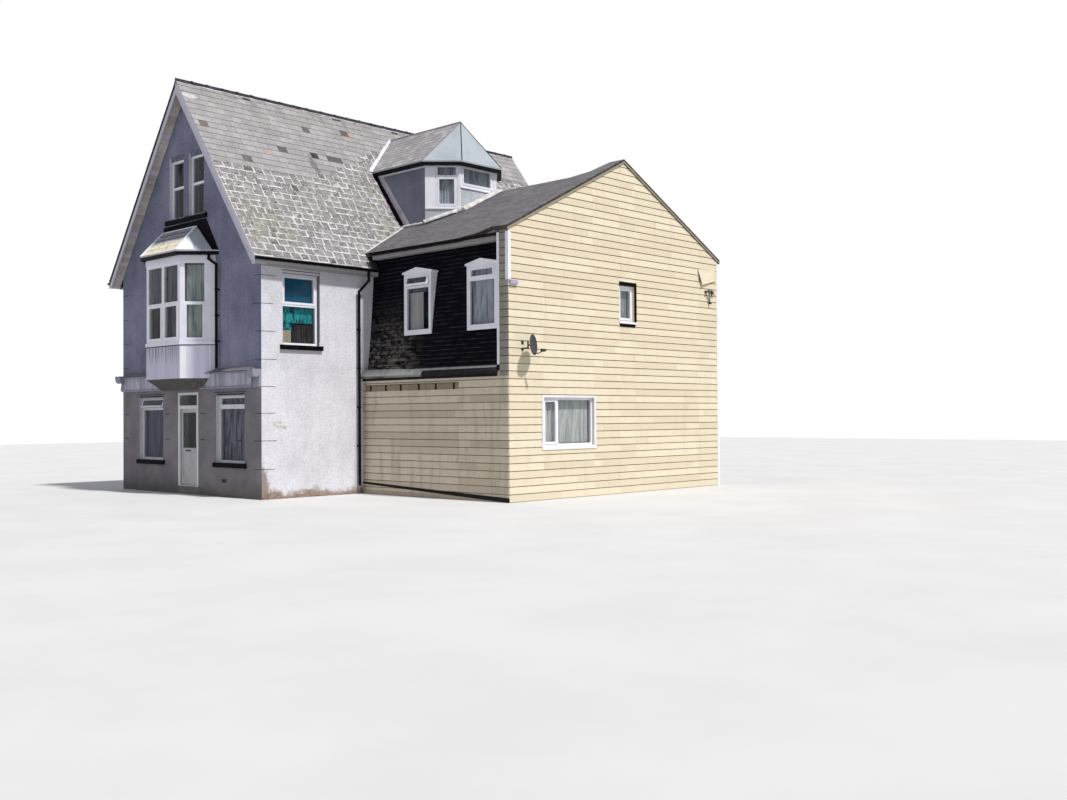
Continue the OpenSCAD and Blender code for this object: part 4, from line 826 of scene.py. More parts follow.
def inside_dormer(x, y):
    """True for a place well inside the dormer's walls."""
    lap = 0.02
    along, out = abs(x - DORMER_X) + lap, SIDE_Y - y
    return along < DORMER_HW - max(out, 0.0) and out < DORMER_OUT - lap


def wing_top(x):
    """Height of the wing's roof over a place, without its lift at the verge."""
    return WING_RIDGE_Z - math.tan(WING_PITCH) * abs(x - WING_MID)


def main_top(y):
    """Height of the main roof over a place."""
    return RIDGE_Z - math.tan(PITCH) * abs(y)


def any_tint(u, v):
    return rng.random()


def natural_tint():
    return rng.uniform(0.0, 0.55)


LEAST_SLATE = 0.008     # width under which a slate is dropped


def lay_slates(shape, plane, u_range, v_range, size, gaps, thick, keep=None, region=None,
               tint=None, skew=0.004, ragged=0.5, creases=()):
    """Courses of slates over part of a slope; size is (width, gauge), gaps likewise."""
    width, gauge = size
    rows = math.ceil((v_range[1] - v_range[0]) / gauge)
    widths = random.Random(rows)
    for r in range(rows):
        v1 = v_range[1] - r * gauge
        v0 = max(v1 - gauge, v_range[0])
        u = u_range[0] - (r % 2) * width / 2
        while u < u_range[1]:
            w = width * widths.uniform(0.86, 1.14)
            a, b = max(u, u_range[0]), min(u + w, u_range[1])
            u = b = min([k for k in creases if a < k < b], default=b)
            if b - a < LEAST_SLATE or (keep and not keep((a + b) / 2, (v0 + v1) / 2)):
                continue
            side_gap = gaps[0] * rng.uniform(ragged, 1.9 - ragged)
            foot_gap = gaps[1] * rng.uniform(ragged, 1.9 - ragged)
            j = [rng.uniform(-skew, skew) for _ in range(4)]
            poly = [(a + side_gap / 2, v0), (b - side_gap / 2, v0),
                    (b - side_gap / 2 + j[0], v1 - foot_gap + j[1]),
                    (a + side_gap / 2 + j[2], v1 - foot_gap + j[3])]
            if region:
                poly = clip(poly, region)
            lift = rng.uniform(0.8, 1.25) * thick
            shade = tint((a + b) / 2, (v0 + v1) / 2) if tint else natural_tint()
            add_cell(shape, plane, poly,
                     lambda u, v, v0=v0, lift=lift: 0.004 + lift * (v - v0) / gauge, shade,
                     head=lambda v, v1=v1: (v1 - v) / gauge)


# Slates that stand out in the photograph, as (x, distance down the slope, tint)
ODD_SLATES = (
    (-2.33, 0.88, 0.88), (-1.2, 0.59, 0.88), (-3.55, 1.84, 0.88), (-2.02, 1.81, 0.88),
    (-1.71, 1.94, 0.88), (-4.93, 2.49, 0.88), (-4.94, 3.01, 0.88), (-3.9, 3.32, 0.88),
    (-4.09, 2.18, 0.94), (-0.91, 0.64, 0.94), (-5.6, 3.7, 0.94), (-4.96, 3.5, 0.94),
    (-5.77, 1.45, 1.0)
)
LOST_SLATES = ((-1.24, 0.12), (1.1, 0.12), (-4.01, 0.12), (-2.72, 1.86))


def net_top(x):
    """Distance down the slope at which the mortar net begins."""
    low, high, start, run = 2.75, 1.15, -2.9, 2.6
    return low - max(0.0, min(1.0, (x - start) / run)) * (low - high)


def odd_tint(x, v, marks):
    """Tint of a slate: that of a mark it lies on, which is used up, or one by its zone."""
    for mark in marks:
        if abs(x - mark[0]) < 0.15 and abs(v - mark[1]) < 0.105:
            marks.remove(mark)
            return mark[2]
    return natural_tint() if v < net_top(x) else rng.uniform(0.5, 0.84)


def lost(x, v):
    """True where a slate has slipped off."""
    return any(abs(x - lx) < 0.14 and abs(v - lv) < 0.11 for lx, lv in LOST_SLATES)


def near_slope_keeps(x, v):
    """True where the near slope isn't covered by the dormer or the wing."""
    y = -v * math.cos(PITCH)
    z = main_top(y)
    half = 1.46
    rise = (DORMER_PEAK_Z - DORMER_EAVE_Z) / half
    dormer_top = DORMER_EAVE_Z + (half - abs(x - DORMER_X)) * rise
    if abs(x - DORMER_X) < DORMER_HW - 0.03 and y < -0.4 and z < dormer_top - 0.15:
        return False
    under_wing = WING_EDGE_X < x < 2 * WING_MID - WING_EDGE_X and z < wing_top(x) - 0.06
    in_wing = WING_FACE_X - 0.08 < x < 2 * WING_MID - WING_FACE_X + 0.08 and y < SIDE_Y
    return not under_wing and not in_wing


MAIN_SLATE, WING_SLATE = (0.26, 0.205), (0.2, 0.115)     # width and gauge


def main_slates():
    """Plain slates, slates in the mortar net and the bed of the net, on both slopes."""
    ends, length = (FRONT_X - VERGE, REAR_X + VERGE), (0.05, SLOPE_LEN)
    for side, name in ((-1, "slates_near"), (1, "slates_far")):
        plane, marks, slates, bed = slope_plane(side), list(ODD_SLATES), Shape(), Shape()

        def keeps(netted, side=side):
            def test(u, v):
                x = -side * u
                there = (side > 0 or near_slope_keeps(x, v)) and not lost(x, v)
                return there and (v >= net_top(u)) == netted
            return test

        def shade(u, v, side=side, marks=marks):
            return odd_tint(-side * u, v, marks)

        lay_slates(slates, plane, ends, length, MAIN_SLATE, (0.005, 0.0), 0.013, keeps(False),
                   tint=shade)
        lay_slates(slates, plane, ends, length, MAIN_SLATE, (0.026, 0.024), 0.008, keeps(True),
                   tint=shade, skew=0.013, ragged=0.12)
        slates.make(name, "slates", "slates")
        lay_slates(bed, plane, ends, length, MAIN_SLATE, (-0.004, -0.004), 0.002, keeps(True))
        bed.make(name + "_mortar", "mortar", "slates")


def wing_slates():
    """Slates of the wing, out over the pier, up to the main roof and round the dormer."""
    edge = (WING_MID - WING_EDGE_X) / math.cos(WING_PITCH)
    corner = (WING_MID - WING_X0 + 0.06) / math.cos(WING_PITCH)
    for side, name in ((-1, "wing_slates_left"), (1, "wing_slates_right")):
        shape = Shape()

        def kept(u, v, side=side):
            x, y = WING_MID + side * v * math.cos(WING_PITCH), side * u
            off = v > edge and y > WING_PIER_Y + 0.015
            return not off and wing_top(x) > main_top(y) - 0.02 and not inside_dormer(x, y)

        lay_slates(shape, wing_plane(side), sorted((side * WING_VERGE_Y, 0.0)), (0.03, corner),
                   WING_SLATE, (0.004, 0.002), 0.009, kept, tint=any_tint,
                   creases=[side * (WING_VERGE_Y + along) for along, _ in LIFT_STEPS[1:]])
        shape.make(name, "wing_slates", "wing_slates")


# Boards: rows of overlapping boards with openings and butt joints
BUTT_JOINT = 0.0015     # share of the gap between two boards that each of them leaves


def row_pieces(u_range, row, cuts, holes):
    """Polygons of one row of boards, cut at its joints and round its holes."""
    marks = sorted({u_range[0], u_range[1], *[c for c in cuts if u_range[0] < c < u_range[1]],
                    *[m for h in holes for m in h[:2] if u_range[0] < m < u_range[1]]})
    for a, b in zip(marks, marks[1:]):
        bands = [(row[0], row[1])]
        for h in holes:
            if a >= h[0] - 1e-6 and b <= h[1] + 1e-6:
                bands = [q for lo, hi in bands
                         for q in ((lo, min(hi, h[2])), (max(lo, h[3]), hi)) if q[1] - q[0] > 0.004]
        for lo, hi in bands:
            yield rect(a + BUTT_JOINT * (a in cuts), b - BUTT_JOINT * (b in cuts), lo, hi)


def lay_boards(shape, plane, u_range, v_range, gauge, start, holes=(), region=None, top=0.004,
               foot=0.018, lengths=(2.2, 4.2), tint=None, marks=()):
    """Rows of lapped boards, thick at the foot, with butt joints at random and at marks."""
    rows = math.ceil((v_range[1] - start) / gauge) + 1
    for r in range(rows):
        v0 = start + r * gauge
        lo, hi = max(v0, v_range[0]), min(v0 + gauge, v_range[1])
        if hi - lo < 0.01:
            continue
        cuts, u = list(marks), u_range[0] + rng.uniform(0.3, lengths[1])
        while u < u_range[1]:
            cuts.append(u)
            u += rng.uniform(*lengths)
        for poly in row_pieces(u_range, (lo, hi), cuts, holes):
            middle = sum(p[0] for p in poly) / 4
            if region:
                poly = clip(poly, region)
            shade = tint(middle, v0) if tint else rng.random()
            add_cell(shape, plane, poly,
                     lambda u, v, v0=v0: foot + (top - foot) * (v - v0) / gauge, shade,
                     head=lambda v, v0=v0: (v - v0) / gauge)


GAUGE, BOARD_START = 0.1695, 0.0115
# Windows of the wing's gable, as (left, width, foot, height)
BIG_WINDOW = (WING_X0 + 1.1, 1.76, 1.2, 1.12)
SMALL_WINDOW = (WING_X0 + 3.853, 0.59, 4.18, 0.88)
# Where a board hangs loose on the gable, as (left, right, foot, head), and its corners with
# how far each stands off
FLAP = (4.4, 5.2, 5.44, 5.77)
FLAP_CORNERS = ((4.4, 5.765, 0.012), (5.2, 5.775, 0.012), (5.2, 5.5, 0.02), (4.52, 5.345, 0.075))
# The band of lost boards under the ledge, as (near, far, foot, head) along the left wall
LOST_BAND = (3.42, 6.82, 2.52, 2.675)
BATTENS = (3.63, 4.21, 4.77, 5.43, 6.03, 6.65)
FOOT_GAP = [(-SIDE_Y, 0.24), (-WING_Y, 0), (-WING_Y, 0.1), (-SIDE_Y, 0.29)]


def edges(window):
    x, w, z, h = window
    return (x, x + w, z, z + h)


def gable_region():
    """Outline of the gable's boards under the verges, a little inside the wall's own."""
    drop = WING_LIFT - 0.104
    z0, top = wing_top(WING_X0) + drop, WING_RIDGE_Z + drop
    return [(WING_X0, 0), (WING_X1, 0), (WING_X1, z0), (WING_MID, top), (WING_X0, z0)]


def gable_boards():
    """Boards of the wing's gable, with the one that hangs loose and the gap behind it."""
    boards, loose, behind = Shape(), Shape(), Shape()
    lay_boards(boards, GABLE, (WING_X0, WING_X1), (0.0, 8.1), GAUGE, BOARD_START,
               [edges(BIG_WINDOW), edges(SMALL_WINDOW), FLAP], gable_region())
    boards.make("gable_boards", "cream", "cream_boards")
    loose.prism([GABLE.spot(u, v, d + 0.008) for u, v, d in FLAP_CORNERS],
                [GABLE.spot(u, v, d) for u, v, d in FLAP_CORNERS], 0.8)
    loose.make("loose_board", "cream", "cream_boards")
    add_cell(behind, GABLE, rect(*FLAP), 0.003)
    behind.make("loose_board_gap", "soffit", "cream_boards")


def lean_back(y, z):
    """Set back of the leaning wall, more at the house than past its bend."""
    t = min(max((z - WING_FOOT_Z) / (WING_HEAD_Z - WING_FOOT_Z), 0.0), 1.0)
    house = LEAN_FOOT + (LEAN_HEAD - LEAN_FOOT) * (1 - (1 - t) ** 1.6)
    out = LEAN_HEAD * t ** 1.5
    share = min(max(1 - (SIDE_Y - y) / LEAN_BEND, 0.0), 1.0)
    return out + (house - out) * share


def wing_side_plane(side, upper):
    """Face of a side wall of the wing; side -1 is the left wall, +1 the right one."""
    x0 = WING_X0 if side < 0 else WING_X1
    bend = lambda u, v: Vector((-side * lean_back(side * u, v), 0, 0))
    return Plane((x0, 0, 0), (0, side, 0), (0, 0, 1), bend if upper else None)


def low_boards(side, name):
    """Cream boards of the ground storey, over the ground that rises on the left."""
    shape, plane = Shape(), wing_side_plane(side, False)
    u_range = sorted((side * WING_Y, side * SIDE_Y))
    foot, holes = (0.1, [LOST_BAND]) if side < 0 else (0.0, [])
    lay_boards(shape, plane, u_range, (foot, WING_LOW_Z), GAUGE, BOARD_START, holes,
               lengths=(2.6, 5.0))
    shape.make(name, "shaded", "shaded_boards")


def lost_band():
    """What shows where the left wall has lost its boards: a bare band, battens and a foot gap."""
    inner, battens, foot = Shape(), Shape(), Shape()
    plane = wing_side_plane(-1, False)
    near, far, low, high = LOST_BAND
    add_cell(inner, plane, rect(*LOST_BAND), 0.002, 0.2)
    inner.make("lost_band", "bare", "shaded_boards")
    for y in BATTENS:
        add_cell(battens, plane, rect(y - 0.025, y + 0.025, low, high), 0.012, 0.4)
    add_cell(battens, plane, rect(near, far, high - 0.008, high), 0.016, 0.4)
    battens.make("band_battens", "dark", "black_boards")
    add_cell(foot, plane, FOOT_GAP, 0.019, 0.2)
    foot.make("foot_gap", "dark", "black_boards")


# Windows of the wing's side walls: distance from the main house, and width
WING_WINDOWS = ((1.6, 0.9), (3.79, 0.9))
WING_WIN_Z, WING_WIN_H = 3.9, 1.4


def wing_window_span(first, width):
    return SIDE_Y - first - width, SIDE_Y - first


def upper_boards(side, name):
    """Black shiplap of the leaning wall, worn like shingles near the main house."""
    shape, pier = Shape(), Shape()
    spans = [wing_window_span(*w) for w in WING_WINDOWS]
    holes = [(*sorted((side * a, side * b)), WING_WIN_Z, WING_WIN_Z + WING_WIN_H) for a, b in spans]
    inner = side * WING_PIER_Y

    def worn(u, v):
        near = max(0.0, 1 - (abs(u) - 3.3) / 2.6) * max(0.0, 1 - (v - 3.0) / 1.9)
        return min(1.0, rng.uniform(0.0, 0.55) + rng.uniform(0.1, 0.75) * near)

    lay_boards(shape, wing_side_plane(side, True), sorted((inner, side * (SIDE_Y - 0.002))),
               (WING_FOOT_Z, WING_HEAD_Z - 0.01), 0.1, WING_FOOT_Z, holes, lengths=(0.5, 1.6),
               tint=worn, foot=0.02, top=0.003, marks=(side * (SIDE_Y - LEAN_BEND),))
    shape.make(name, "black", "black_boards")
    lay_boards(pier, wing_side_plane(side, False), sorted((inner - side * 0.07, side * WING_Y)),
               (WING_LOW_Z, 6.0), GAUGE, BOARD_START, lengths=(4, 5))
    pier.make(name + "_pier", "pier", "shaded_boards")


def window_place(corner, angle):
    return Matrix.Translation(corner) @ Matrix.Rotation(math.radians(angle), 4, "Z")


# Windows and their curtains
def bay_place(x, y):
    """Place in the plan of a point given across and out of the front, y below 0 being out."""
    return FRONT_X + y, BAY_Y - x


REVEAL, WINDOW_W, CORNER_OFF = 0.09, 1.04, 0.583
LOW, FIRST, ATTIC = (0.815, 1.655), (3.6, 1.7), (6.93, 1.52)     # sill and height of each storey
SASH_W, SASH_Y = 0.72, (-0.835, 0.115)
REAR_Y = (-1.66, 1.66)
# Shop windows: distance from the side wall, width and cloth
SHOP_WINDOWS = {"shop_right": (0.71, 1.24, "dusk_net"), "shop_left": (4.5, 1.23, "blue_cloth")}


def house_windows():
    """Name, left corner seen from outside, facing angle, width, height and cloth of each."""
    front_x, rear_x = FRONT_X + REVEAL, REAR_X - REVEAL
    first_x, last_x = FRONT_X + CORNER_OFF, REAR_X - CORNER_OFF - WINDOW_W
    rows = [(name, (front_x, SIDE_Y + off + w, LOW[0]), -90, w, LOW[1], cloth)
            for name, (off, w, cloth) in SHOP_WINDOWS.items()]
    rows.append(("side_first", (first_x, SIDE_Y + REVEAL, FIRST[0]), 0, WINDOW_W, FIRST[1],
                 "teal_cloth"))
    for i, y in enumerate(SASH_Y):
        rows.append((f"attic_{i}", (front_x, y + SASH_W, ATTIC[0]), -90, SASH_W, ATTIC[1], "drape"))
        rows.append((f"attic_rear_{i}", (rear_x, y, ATTIC[0]), 90, SASH_W, ATTIC[1], "net"))
    for level, (z, h), places in (("first", FIRST, (first_x, -WINDOW_W / 2, last_x)),
                                  ("low", LOW, (first_x, last_x))):
        for i, x in enumerate(places):
            rows.append((f"far_{level}_{i}", (x + WINDOW_W, FAR_Y - REVEAL, z), 180, WINDOW_W, h,
                         "net"))
    for i, y in enumerate(REAR_Y):
        for level, (z, h) in (("first", FIRST), ("low", LOW)):
            rows.append((f"rear_{level}_{i}", (rear_x, y - WINDOW_W / 2, z), 90, WINDOW_W, h, "net"))
    return rows + wing_curtains() + bay_curtains() + dormer_curtains()


def wing_curtains():
    """The same for the wing's side walls and gable."""
    rows = []
    for i, (first, width) in enumerate(WING_WINDOWS):
        a, b = wing_window_span(first, width)
        for name, x, y, turn, cloth in (("left", WING_X0 + 0.02, b, -90, ("blind", "net")[i]),
                                        ("right", WING_X1 - 0.02, a, 90, "net")):
            rows.append((f"wing_{name}_{i}", (x, y, WING_WIN_Z), turn, width, WING_WIN_H, cloth))
    for name, (x, w, z, h), back, cloth in (("big", BIG_WINDOW, 0.04, "painted_sunlit_net"),
                                            ("small", SMALL_WINDOW, 0.06, "grey_cloth")):
        rows.append(("gable_" + name, (x, WING_Y + back, z), 0, w, h, cloth))
    return rows


def bay_curtains():
    """The same for the bay: the two halves of its front, and its sides."""
    w = 0.77
    z = face("bay_window_frames", "Z")
    h = round(face("bay_window_frames", "Z", True) - z, 3)
    wall_post, corner_post = 0.225, 0.085
    side = BAY_OUT * math.sqrt(2) - corner_post - wall_post
    rows = []
    for i, x in enumerate((-w, 0.0)):
        rows.append((f"bay_front_{i}", (*bay_place(x, -BAY_OUT), z), -90, w, h, "grey_cloth"))
    a, b = wall_post * HALF, corner_post * HALF
    rows.append(("bay_left", (*bay_place(-BAY_HW + a, -a), z), -135, side, h, "grey_cloth"))
    rows.append(("bay_right", (*bay_place(BAY_HW - BAY_OUT + b, -BAY_OUT + b), z), -45, side, h,
                 "grey_cloth"))
    return rows


def dormer_curtains():
    """The same for the dormer's three lights."""
    flat = DORMER_HW - DORMER_OUT
    side = DORMER_OUT * math.sqrt(2) - 0.32
    k = 0.27 * HALF
    low, sill, head = face("dormer_window_frames", "Z"), DORMER_SILL_Z, DORMER_TOP_Z - 0.015
    front_y = SIDE_Y - DORMER_OUT
    return [
        ("dormer_front", (DORMER_X - flat + 0.025, front_y, sill), 0, 1.2, head - sill, "net"),
        ("dormer_left", (DORMER_X - DORMER_HW + k, SIDE_Y - k, low), -45, side, head - low, "net"),
        ("dormer_right", (DORMER_X + flat + k, front_y + k, sill), 45, side, head - sill, "net")
    ]


# Curtains of a window as (left, right, foot, head, cloth), in shares of its width and height
CURTAIN_PARTS = {
    "attic_0": ((0.5, 1.0, 0.0, 1.0, "drape"),), "attic_1": ((0.45, 1.0, 0.0, 1.0, "drape"),),
    "side_first": ((0.0, 1.0, 0.57, 1.0, "teal_cloth"), (0.0, 1.0, 0.3, 0.56, "frill"),
                   (0.0, 0.36, 0.2, 0.29, "frill"), (0.38, 1.0, 0.0, 0.28, "brown"),
                   (0.0, 0.34, 0.0, 0.19, "box")),
    "wing_left_0": ((0.0, 0.6, 0.0, 0.7, "blind"), (0.0, 1.0, 0.7, 1.0, "dim_cloth")),
    "bay_front_0": ((0.0, 1.0, 0.5, 1.0, "dim_cloth"), (0.0, 0.4, 0.0, 0.45, "brown")),
    "bay_front_1": ((0.0, 1.0, 0.5, 1.0, "dim_cloth"), (0.3, 1.0, 0.0, 0.45, "dim_cloth"))
}
FLAT_CLOTHS = ("blind", "teal_cloth", "box")


def hang_curtains(name, corner, angle, width, height, cloth):
    """All the curtains of one window."""
    parts = CURTAIN_PARTS.get(name, ((0.0, 1.0, 0.0, 1.0, cloth),))
    for i, part in enumerate(parts):
        hang_curtain(f"{name}_{i}" if len(parts) > 1 else name, corner, angle, width, height, part)


def hang_curtain(name, corner, angle, width, height, part):
    """A sheet in soft folds behind the glass, hung from the window's head."""
    lo, hi, foot, head, cloth = part
    blind = cloth in FLAT_CLOTHS
    x0, x1 = 0.05 + lo * (width - 0.1), 0.05 + hi * (width - 0.1)
    z0, z1 = 0.07 + foot * (height - 0.13), 0.07 + head * (height - 0.13)
    folds = 0 if blind else max(3, round((x1 - x0) / 0.075))
    columns, rows = max(2, folds * 8), 6
    depth = 0.0 if blind else 0.014
    place = window_place(corner, angle)
    shift = [rng.uniform(-0.5, 0.5) for _ in range(folds + 2)]
    verts = []
    for j in range(rows + 1):
        t = j / rows
        for i in range(columns + 1):
            s = i / columns
            fold = s * folds
            k = int(fold)
            phase = fold + 0.25 * shift[min(k, folds)] * (1 - t)
            y = FRAME_D + 0.045 + depth * math.sin(2 * math.pi * phase) * (1 - 0.35 * t)
            verts.append(place @ Vector((x0 + (x1 - x0) * s, y, z0 + (z1 - z0) * t)))
    faces = [(j * (columns + 1) + i, j * (columns + 1) + i + 1, (j + 1) * (columns + 1) + i + 1,
              (j + 1) * (columns + 1) + i) for j in range(rows) for i in range(columns)]
    mesh = bpy.data.meshes.new("curtain_" + name)
    mesh.from_pydata([tuple(v) for v in verts], [], faces)
    mesh.materials.append(PAINTS[cloth])
    mesh.polygons.foreach_set("use_smooth", [True] * len(mesh.polygons))
    piece = add_object("curtain_" + name, mesh)
    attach(piece, "building")


# Bay, fascia and soffits
def facet_planes(points, z):
    """Planes over the faces between successive points of an outline."""
    for a, b in zip(points, points[1:]):
        way = Vector((b[0] - a[0], b[1] - a[1], 0))
        yield Plane((a[0], a[1], z), way, (0, 0, 1)), way.length


def strips(shape, plane, span, v_range, width, proud, gap):
    """Upright matched boards with dark grooves between them."""
    count = max(1, round((span[1] - span[0]) / width))
    step = (span[1] - span[0]) / count
    for i in range(count):
        a = span[0] + i * step
        add_cell(shape, plane, rect(a + gap / 2, a + step - gap / 2, *v_range), proud, rng.random())


def canted(half, out, over=0.0):
    """Outline of a canted front in its own frame, moved out by over."""
    flat = half - out + over * MITRE
    wide = half + over * math.sqrt(2)
    return [(-wide, 0), (-flat, -out - over), (flat, -out - over), (wide, 0)]


def bay_corner():
    return [bay_place(*p) for p in canted(BAY_HW, BAY_OUT)]


def dress_bay():
    """Grooved apron, corner strip and sill shadow of the bay."""
    apron, corner, shadow = Shape(), Shape(), Shape()
    high = BAY_SILL_Z - BAY_FOOT_Z
    low = high - 0.022
    for k, (plane, length) in enumerate(facet_planes(bay_corner(), BAY_FOOT_Z)):
        near = k == 2
        strips(apron, plane, (0.17 if near else 0.0, length), (0.0, low), 0.052, 0.009, 0.004)
        add_cell(shadow, plane, rect(0.0, length, low, high), 0.006)
        if near:
            add_cell(corner, plane, rect(0.0, 0.165, 0.0, 0.79), 0.012)
    apron.make("bay_apron", "apron", "white_upvc")
    corner.make("bay_corner_strip", "white", "white_upvc")
    shadow.make("bay_sill_shadow", "dark", "sill_black")


def bay_under_boards():
    """Boards up the bay's tapered underside, with gaps between them."""
    under, foot = Shape(), 0.18
    low = [bay_place(*p) for p in canted(BAY_HW - BAY_OUT + foot, foot)]
    high = bay_corner()
    for i in range(3):
        a, b = [Vector((*low[j], BAY_UNDER_Z)) for j in (i, i + 1)]
        d, c = [Vector((*high[j], BAY_FOOT_Z)) for j in (i, i + 1)]
        n = (b - a).cross(d - a).normalized()
        count = max(3, round((b - a).length / 0.1))
        for k in range(count):
            s, e = k / count + 0.004, (k + 1) / count - 0.004
            lay_sheet(under, [a.lerp(b, s), a.lerp(b, e), d.lerp(c, e), d.lerp(c, s)], n,
                      0.008, 0.002, rng.random())
    under.make("bay_under_boards", "underside", "painted_board")


def lay_sheet(shape, loop, n, proud, back, tint=0.5):
    """A thin sheet over a loop of points, proud of it along n and let into it by back."""
    shape.prism([p + n * proud for p in loop], [p - n * back for p in loop], tint)


def bay_flashing():
    """Black flashing on the wall round the bay's roof and along its near slope."""
    shape = Shape()
    over = [(-1.15, 6.63), (0.52, 6.63), (0.78, 6.795), (-1.10, 6.785)]
    beside = [(0.50, 6.64), (1.45, 5.98), (1.475, 5.99), (0.945, 6.785), (0.78, 6.795)]
    for poly in (over, beside):
        add_cell(shape, FRONT, poly, 0.014)
    along = [Vector((FRONT_X + x, y, z)) for x, y, z in (
        (0, -1.514, BAY_EAVE_Z), (0, -0.51, 6.655), (-0.03, -0.545, 6.65), (-0.118, -1.396, 5.966))]
    lay_sheet(shape, along, Vector((-0.49, -0.49, 0.72)), 0.012, 0.004)
    shape.make("bay_flashing", "tar", "lead")


def dress_bay_roof():
    """Slates of the bay's front slope, and the pale lead over its hips and near side."""
    slates, hips = Shape(), Shape()
    left, right = [Vector((*bay_place(x, -0.73), BAY_EAVE_Z)) for x in (-0.869, 0.869)]
    top_left, top_right = [Vector((*bay_place(x, -0.01), BAY_TOP_Z)) for x in (-1.085, 0.595)]
    across = right - left
    plane = Plane(top_left, across, (left - top_left) - (left - top_left).project(across))
    if plane.n.z < 0:
        plane.n = -plane.n
    region = counterclockwise([plane.uv(p) for p in (top_left, left, right, top_right)])
    us, vs = zip(*region)
    lay_slates(slates, plane, (min(us), max(us)), (0.0, max(vs)), (0.24, 0.2), (0.012, 0.006),
               0.008, region=region, tint=any_tint)
    slates.make("bay_roof_slates", "bay_slates", "slates")
    near = Vector((*bay_place(1.599, 0.0), BAY_EAVE_Z)) - right
    cover = [right + UP * 0.005, right + near * 0.42, Vector((-6.054, -0.885, 6.151)),
             Vector((-6.011, -0.662, 6.336))]
    lay_sheet(hips, cover, near.cross(top_right - right).normalized(), 0.012, 0.003)
    n = across.cross(top_left - left).normalized()
    for base, head, width in ((right, top_right, -0.09), (left, top_left, 0.09)):
        along = across.normalized() * width
        lay_sheet(hips, [base, head, head + along, base + along], n, 0.02, 0.003)
    hips.tube([right + UP * 0.01, top_right], 0.022)
    hips.tube([left + UP * 0.01, top_left], 0.022)
    hips.tube([top_right, top_left], 0.02)
    hips.make("bay_roof_hips", "pale_lead", "lead")


def dress_soffits():
    """Boards across the underside of both verges, with dark gaps and a few lost ones."""
    shape = Shape()
    under = RIDGE_Z - 0.1843
    count, pitch, width, lost_ones = 44, 0.13, 0.118, (9, 17, 31)
    for end in (-1, 1):
        for side in (-1, 1):
            down = down_slope(side)
            for k in range(count):
                a, b = 0.1 + k * pitch, 0.1 + k * pitch + width
                if b > SLOPE_LEN - 0.06 or (end < 0 and k in lost_ones):
                    continue
                x0, x1 = sorted((end * (REAR_X + 0.004), end * (REAR_X + 0.27)))
                loop = [Vector((x, 0, under)) + down * s for x, s in rect(x0, x1, a, b)]
                lay_sheet(shape, loop, -UP, 0.012 * rng.uniform(0.7, 1.6), 0.0, rng.random())
    shape.make("soffit_strips", "soffit", "painted_board")


# Small parts of the walls
CORNER_JOINTS = (5.19, 4.535, 3.89, 3.24, 2.61, 1.99, 1.35, 0.69)
PIER_JOINTS, PIER_MARKS = (1.99, 1.35), (-2.4, -0.75, 0.95, 3.1)


def wall_marks():
    """Incised joints of the corner stones, marks on the shop piers, and the air brick."""
    shape, brick, deep, high = Shape(), Shape(), 0.0015, 0.011
    for z in CORNER_JOINTS:
        add_cell(shape, SIDE, rect(FRONT_X, FRONT_X + rng.uniform(0.34, 0.42), z, z + 0.012), deep)
        add_cell(shape, FRONT, rect(-SIDE_Y - rng.uniform(0.24, 0.34), -SIDE_Y, z, z + high), deep)
        if z > 3:
            add_cell(shape, FRONT, rect(-FAR_Y, -FAR_Y + 0.28, z, z + high), deep)
    for z in PIER_JOINTS:
        for y in PIER_MARKS:
            add_cell(shape, FRONT, rect(-y - 0.09, -y + 0.09, z, z + 0.02), deep)
    shape.make("wall_joints", "dark", "front_render")
    for k in range(4):
        u = 1.62 + k * 0.055
        add_cell(brick, FRONT, rect(u, u + 0.035, 0.34, 0.43), 0.003)
    brick.make("air_brick", "dark", "front_render")


def paint_reveal_shade():
    """Painted shade on the lining of the side window's opening, and dark lines on the wall above and
    beside it as painted shadow.
    """
    lining, shadow_lines, y = Shape(), Shape(), SIDE_Y
    x, z = FRONT_X + CORNER_OFF + WINDOW_W, sum(FIRST)
    lining.box((x - 0.004, y + 0.002, FIRST[0] + 0.01), (x, y + 0.088, z - 0.004))
    lining.box((x - WINDOW_W, y + 0.002, z - 0.004), (x, y + 0.088, z))
    lining.make("side_window_reveal_shade", "reveal", "side_render")
    # Painted shadow lines above the head and beside the right jamb
    shadow_lines.box((x - 1.06, y - 0.012, z + 0.05), (x + 0.03, y + 0.001, z + 0.062))
    shadow_lines.box((x + 0.004, y - 0.003, 3.7), (x + 0.014, y + 0.001, z + 0.05))
    shadow_lines.make("side_window_shadow_lines", "dark", "side_render")


def trims():
    """Architraves and sills of the gable's windows, and the black reveal of the small one."""
    white, dark = Shape(), Shape()
    x0, x1, z0, z1 = edges(BIG_WINDOW)
    for bar in (rect(x0 - 0.05, x0 + 0.005, z0 + 0.007, z1 + 0.045),
                rect(x1 - 0.005, x1 + 0.06, z0 + 0.007, z1 + 0.045),
                rect(x0 + 0.006, x1 - 0.006, z1 - 0.005, z1 + 0.045),
                rect(x0 - 0.06, x1 + 0.07, z0 - 0.075, z0 + 0.005)):
        add_cell(white, GABLE, bar, 0.03)
    x0, x1, z0, z1 = edges(SMALL_WINDOW)
    add_cell(white, GABLE, rect(x0 - 0.03, x1 + 0.05, z0 - 0.045, z0 + 0.005), 0.045)
    white.make("gable_architraves", "white", "white_upvc", bevel=0.004)
    for bar, proud in ((rect(x0 - 0.02, x1 + 0.07, z1, z1 + 0.1), 0.022),
                       (rect(x1, x1 + 0.07, z0, z1), 0.022),
                       (rect(x0, x1 + 0.02, z0 - 0.12, z0 - 0.045), 0.02)):
        add_cell(dark, GABLE, bar, proud)
    dark.make("small_window_reveal", "sill", "sill_black")


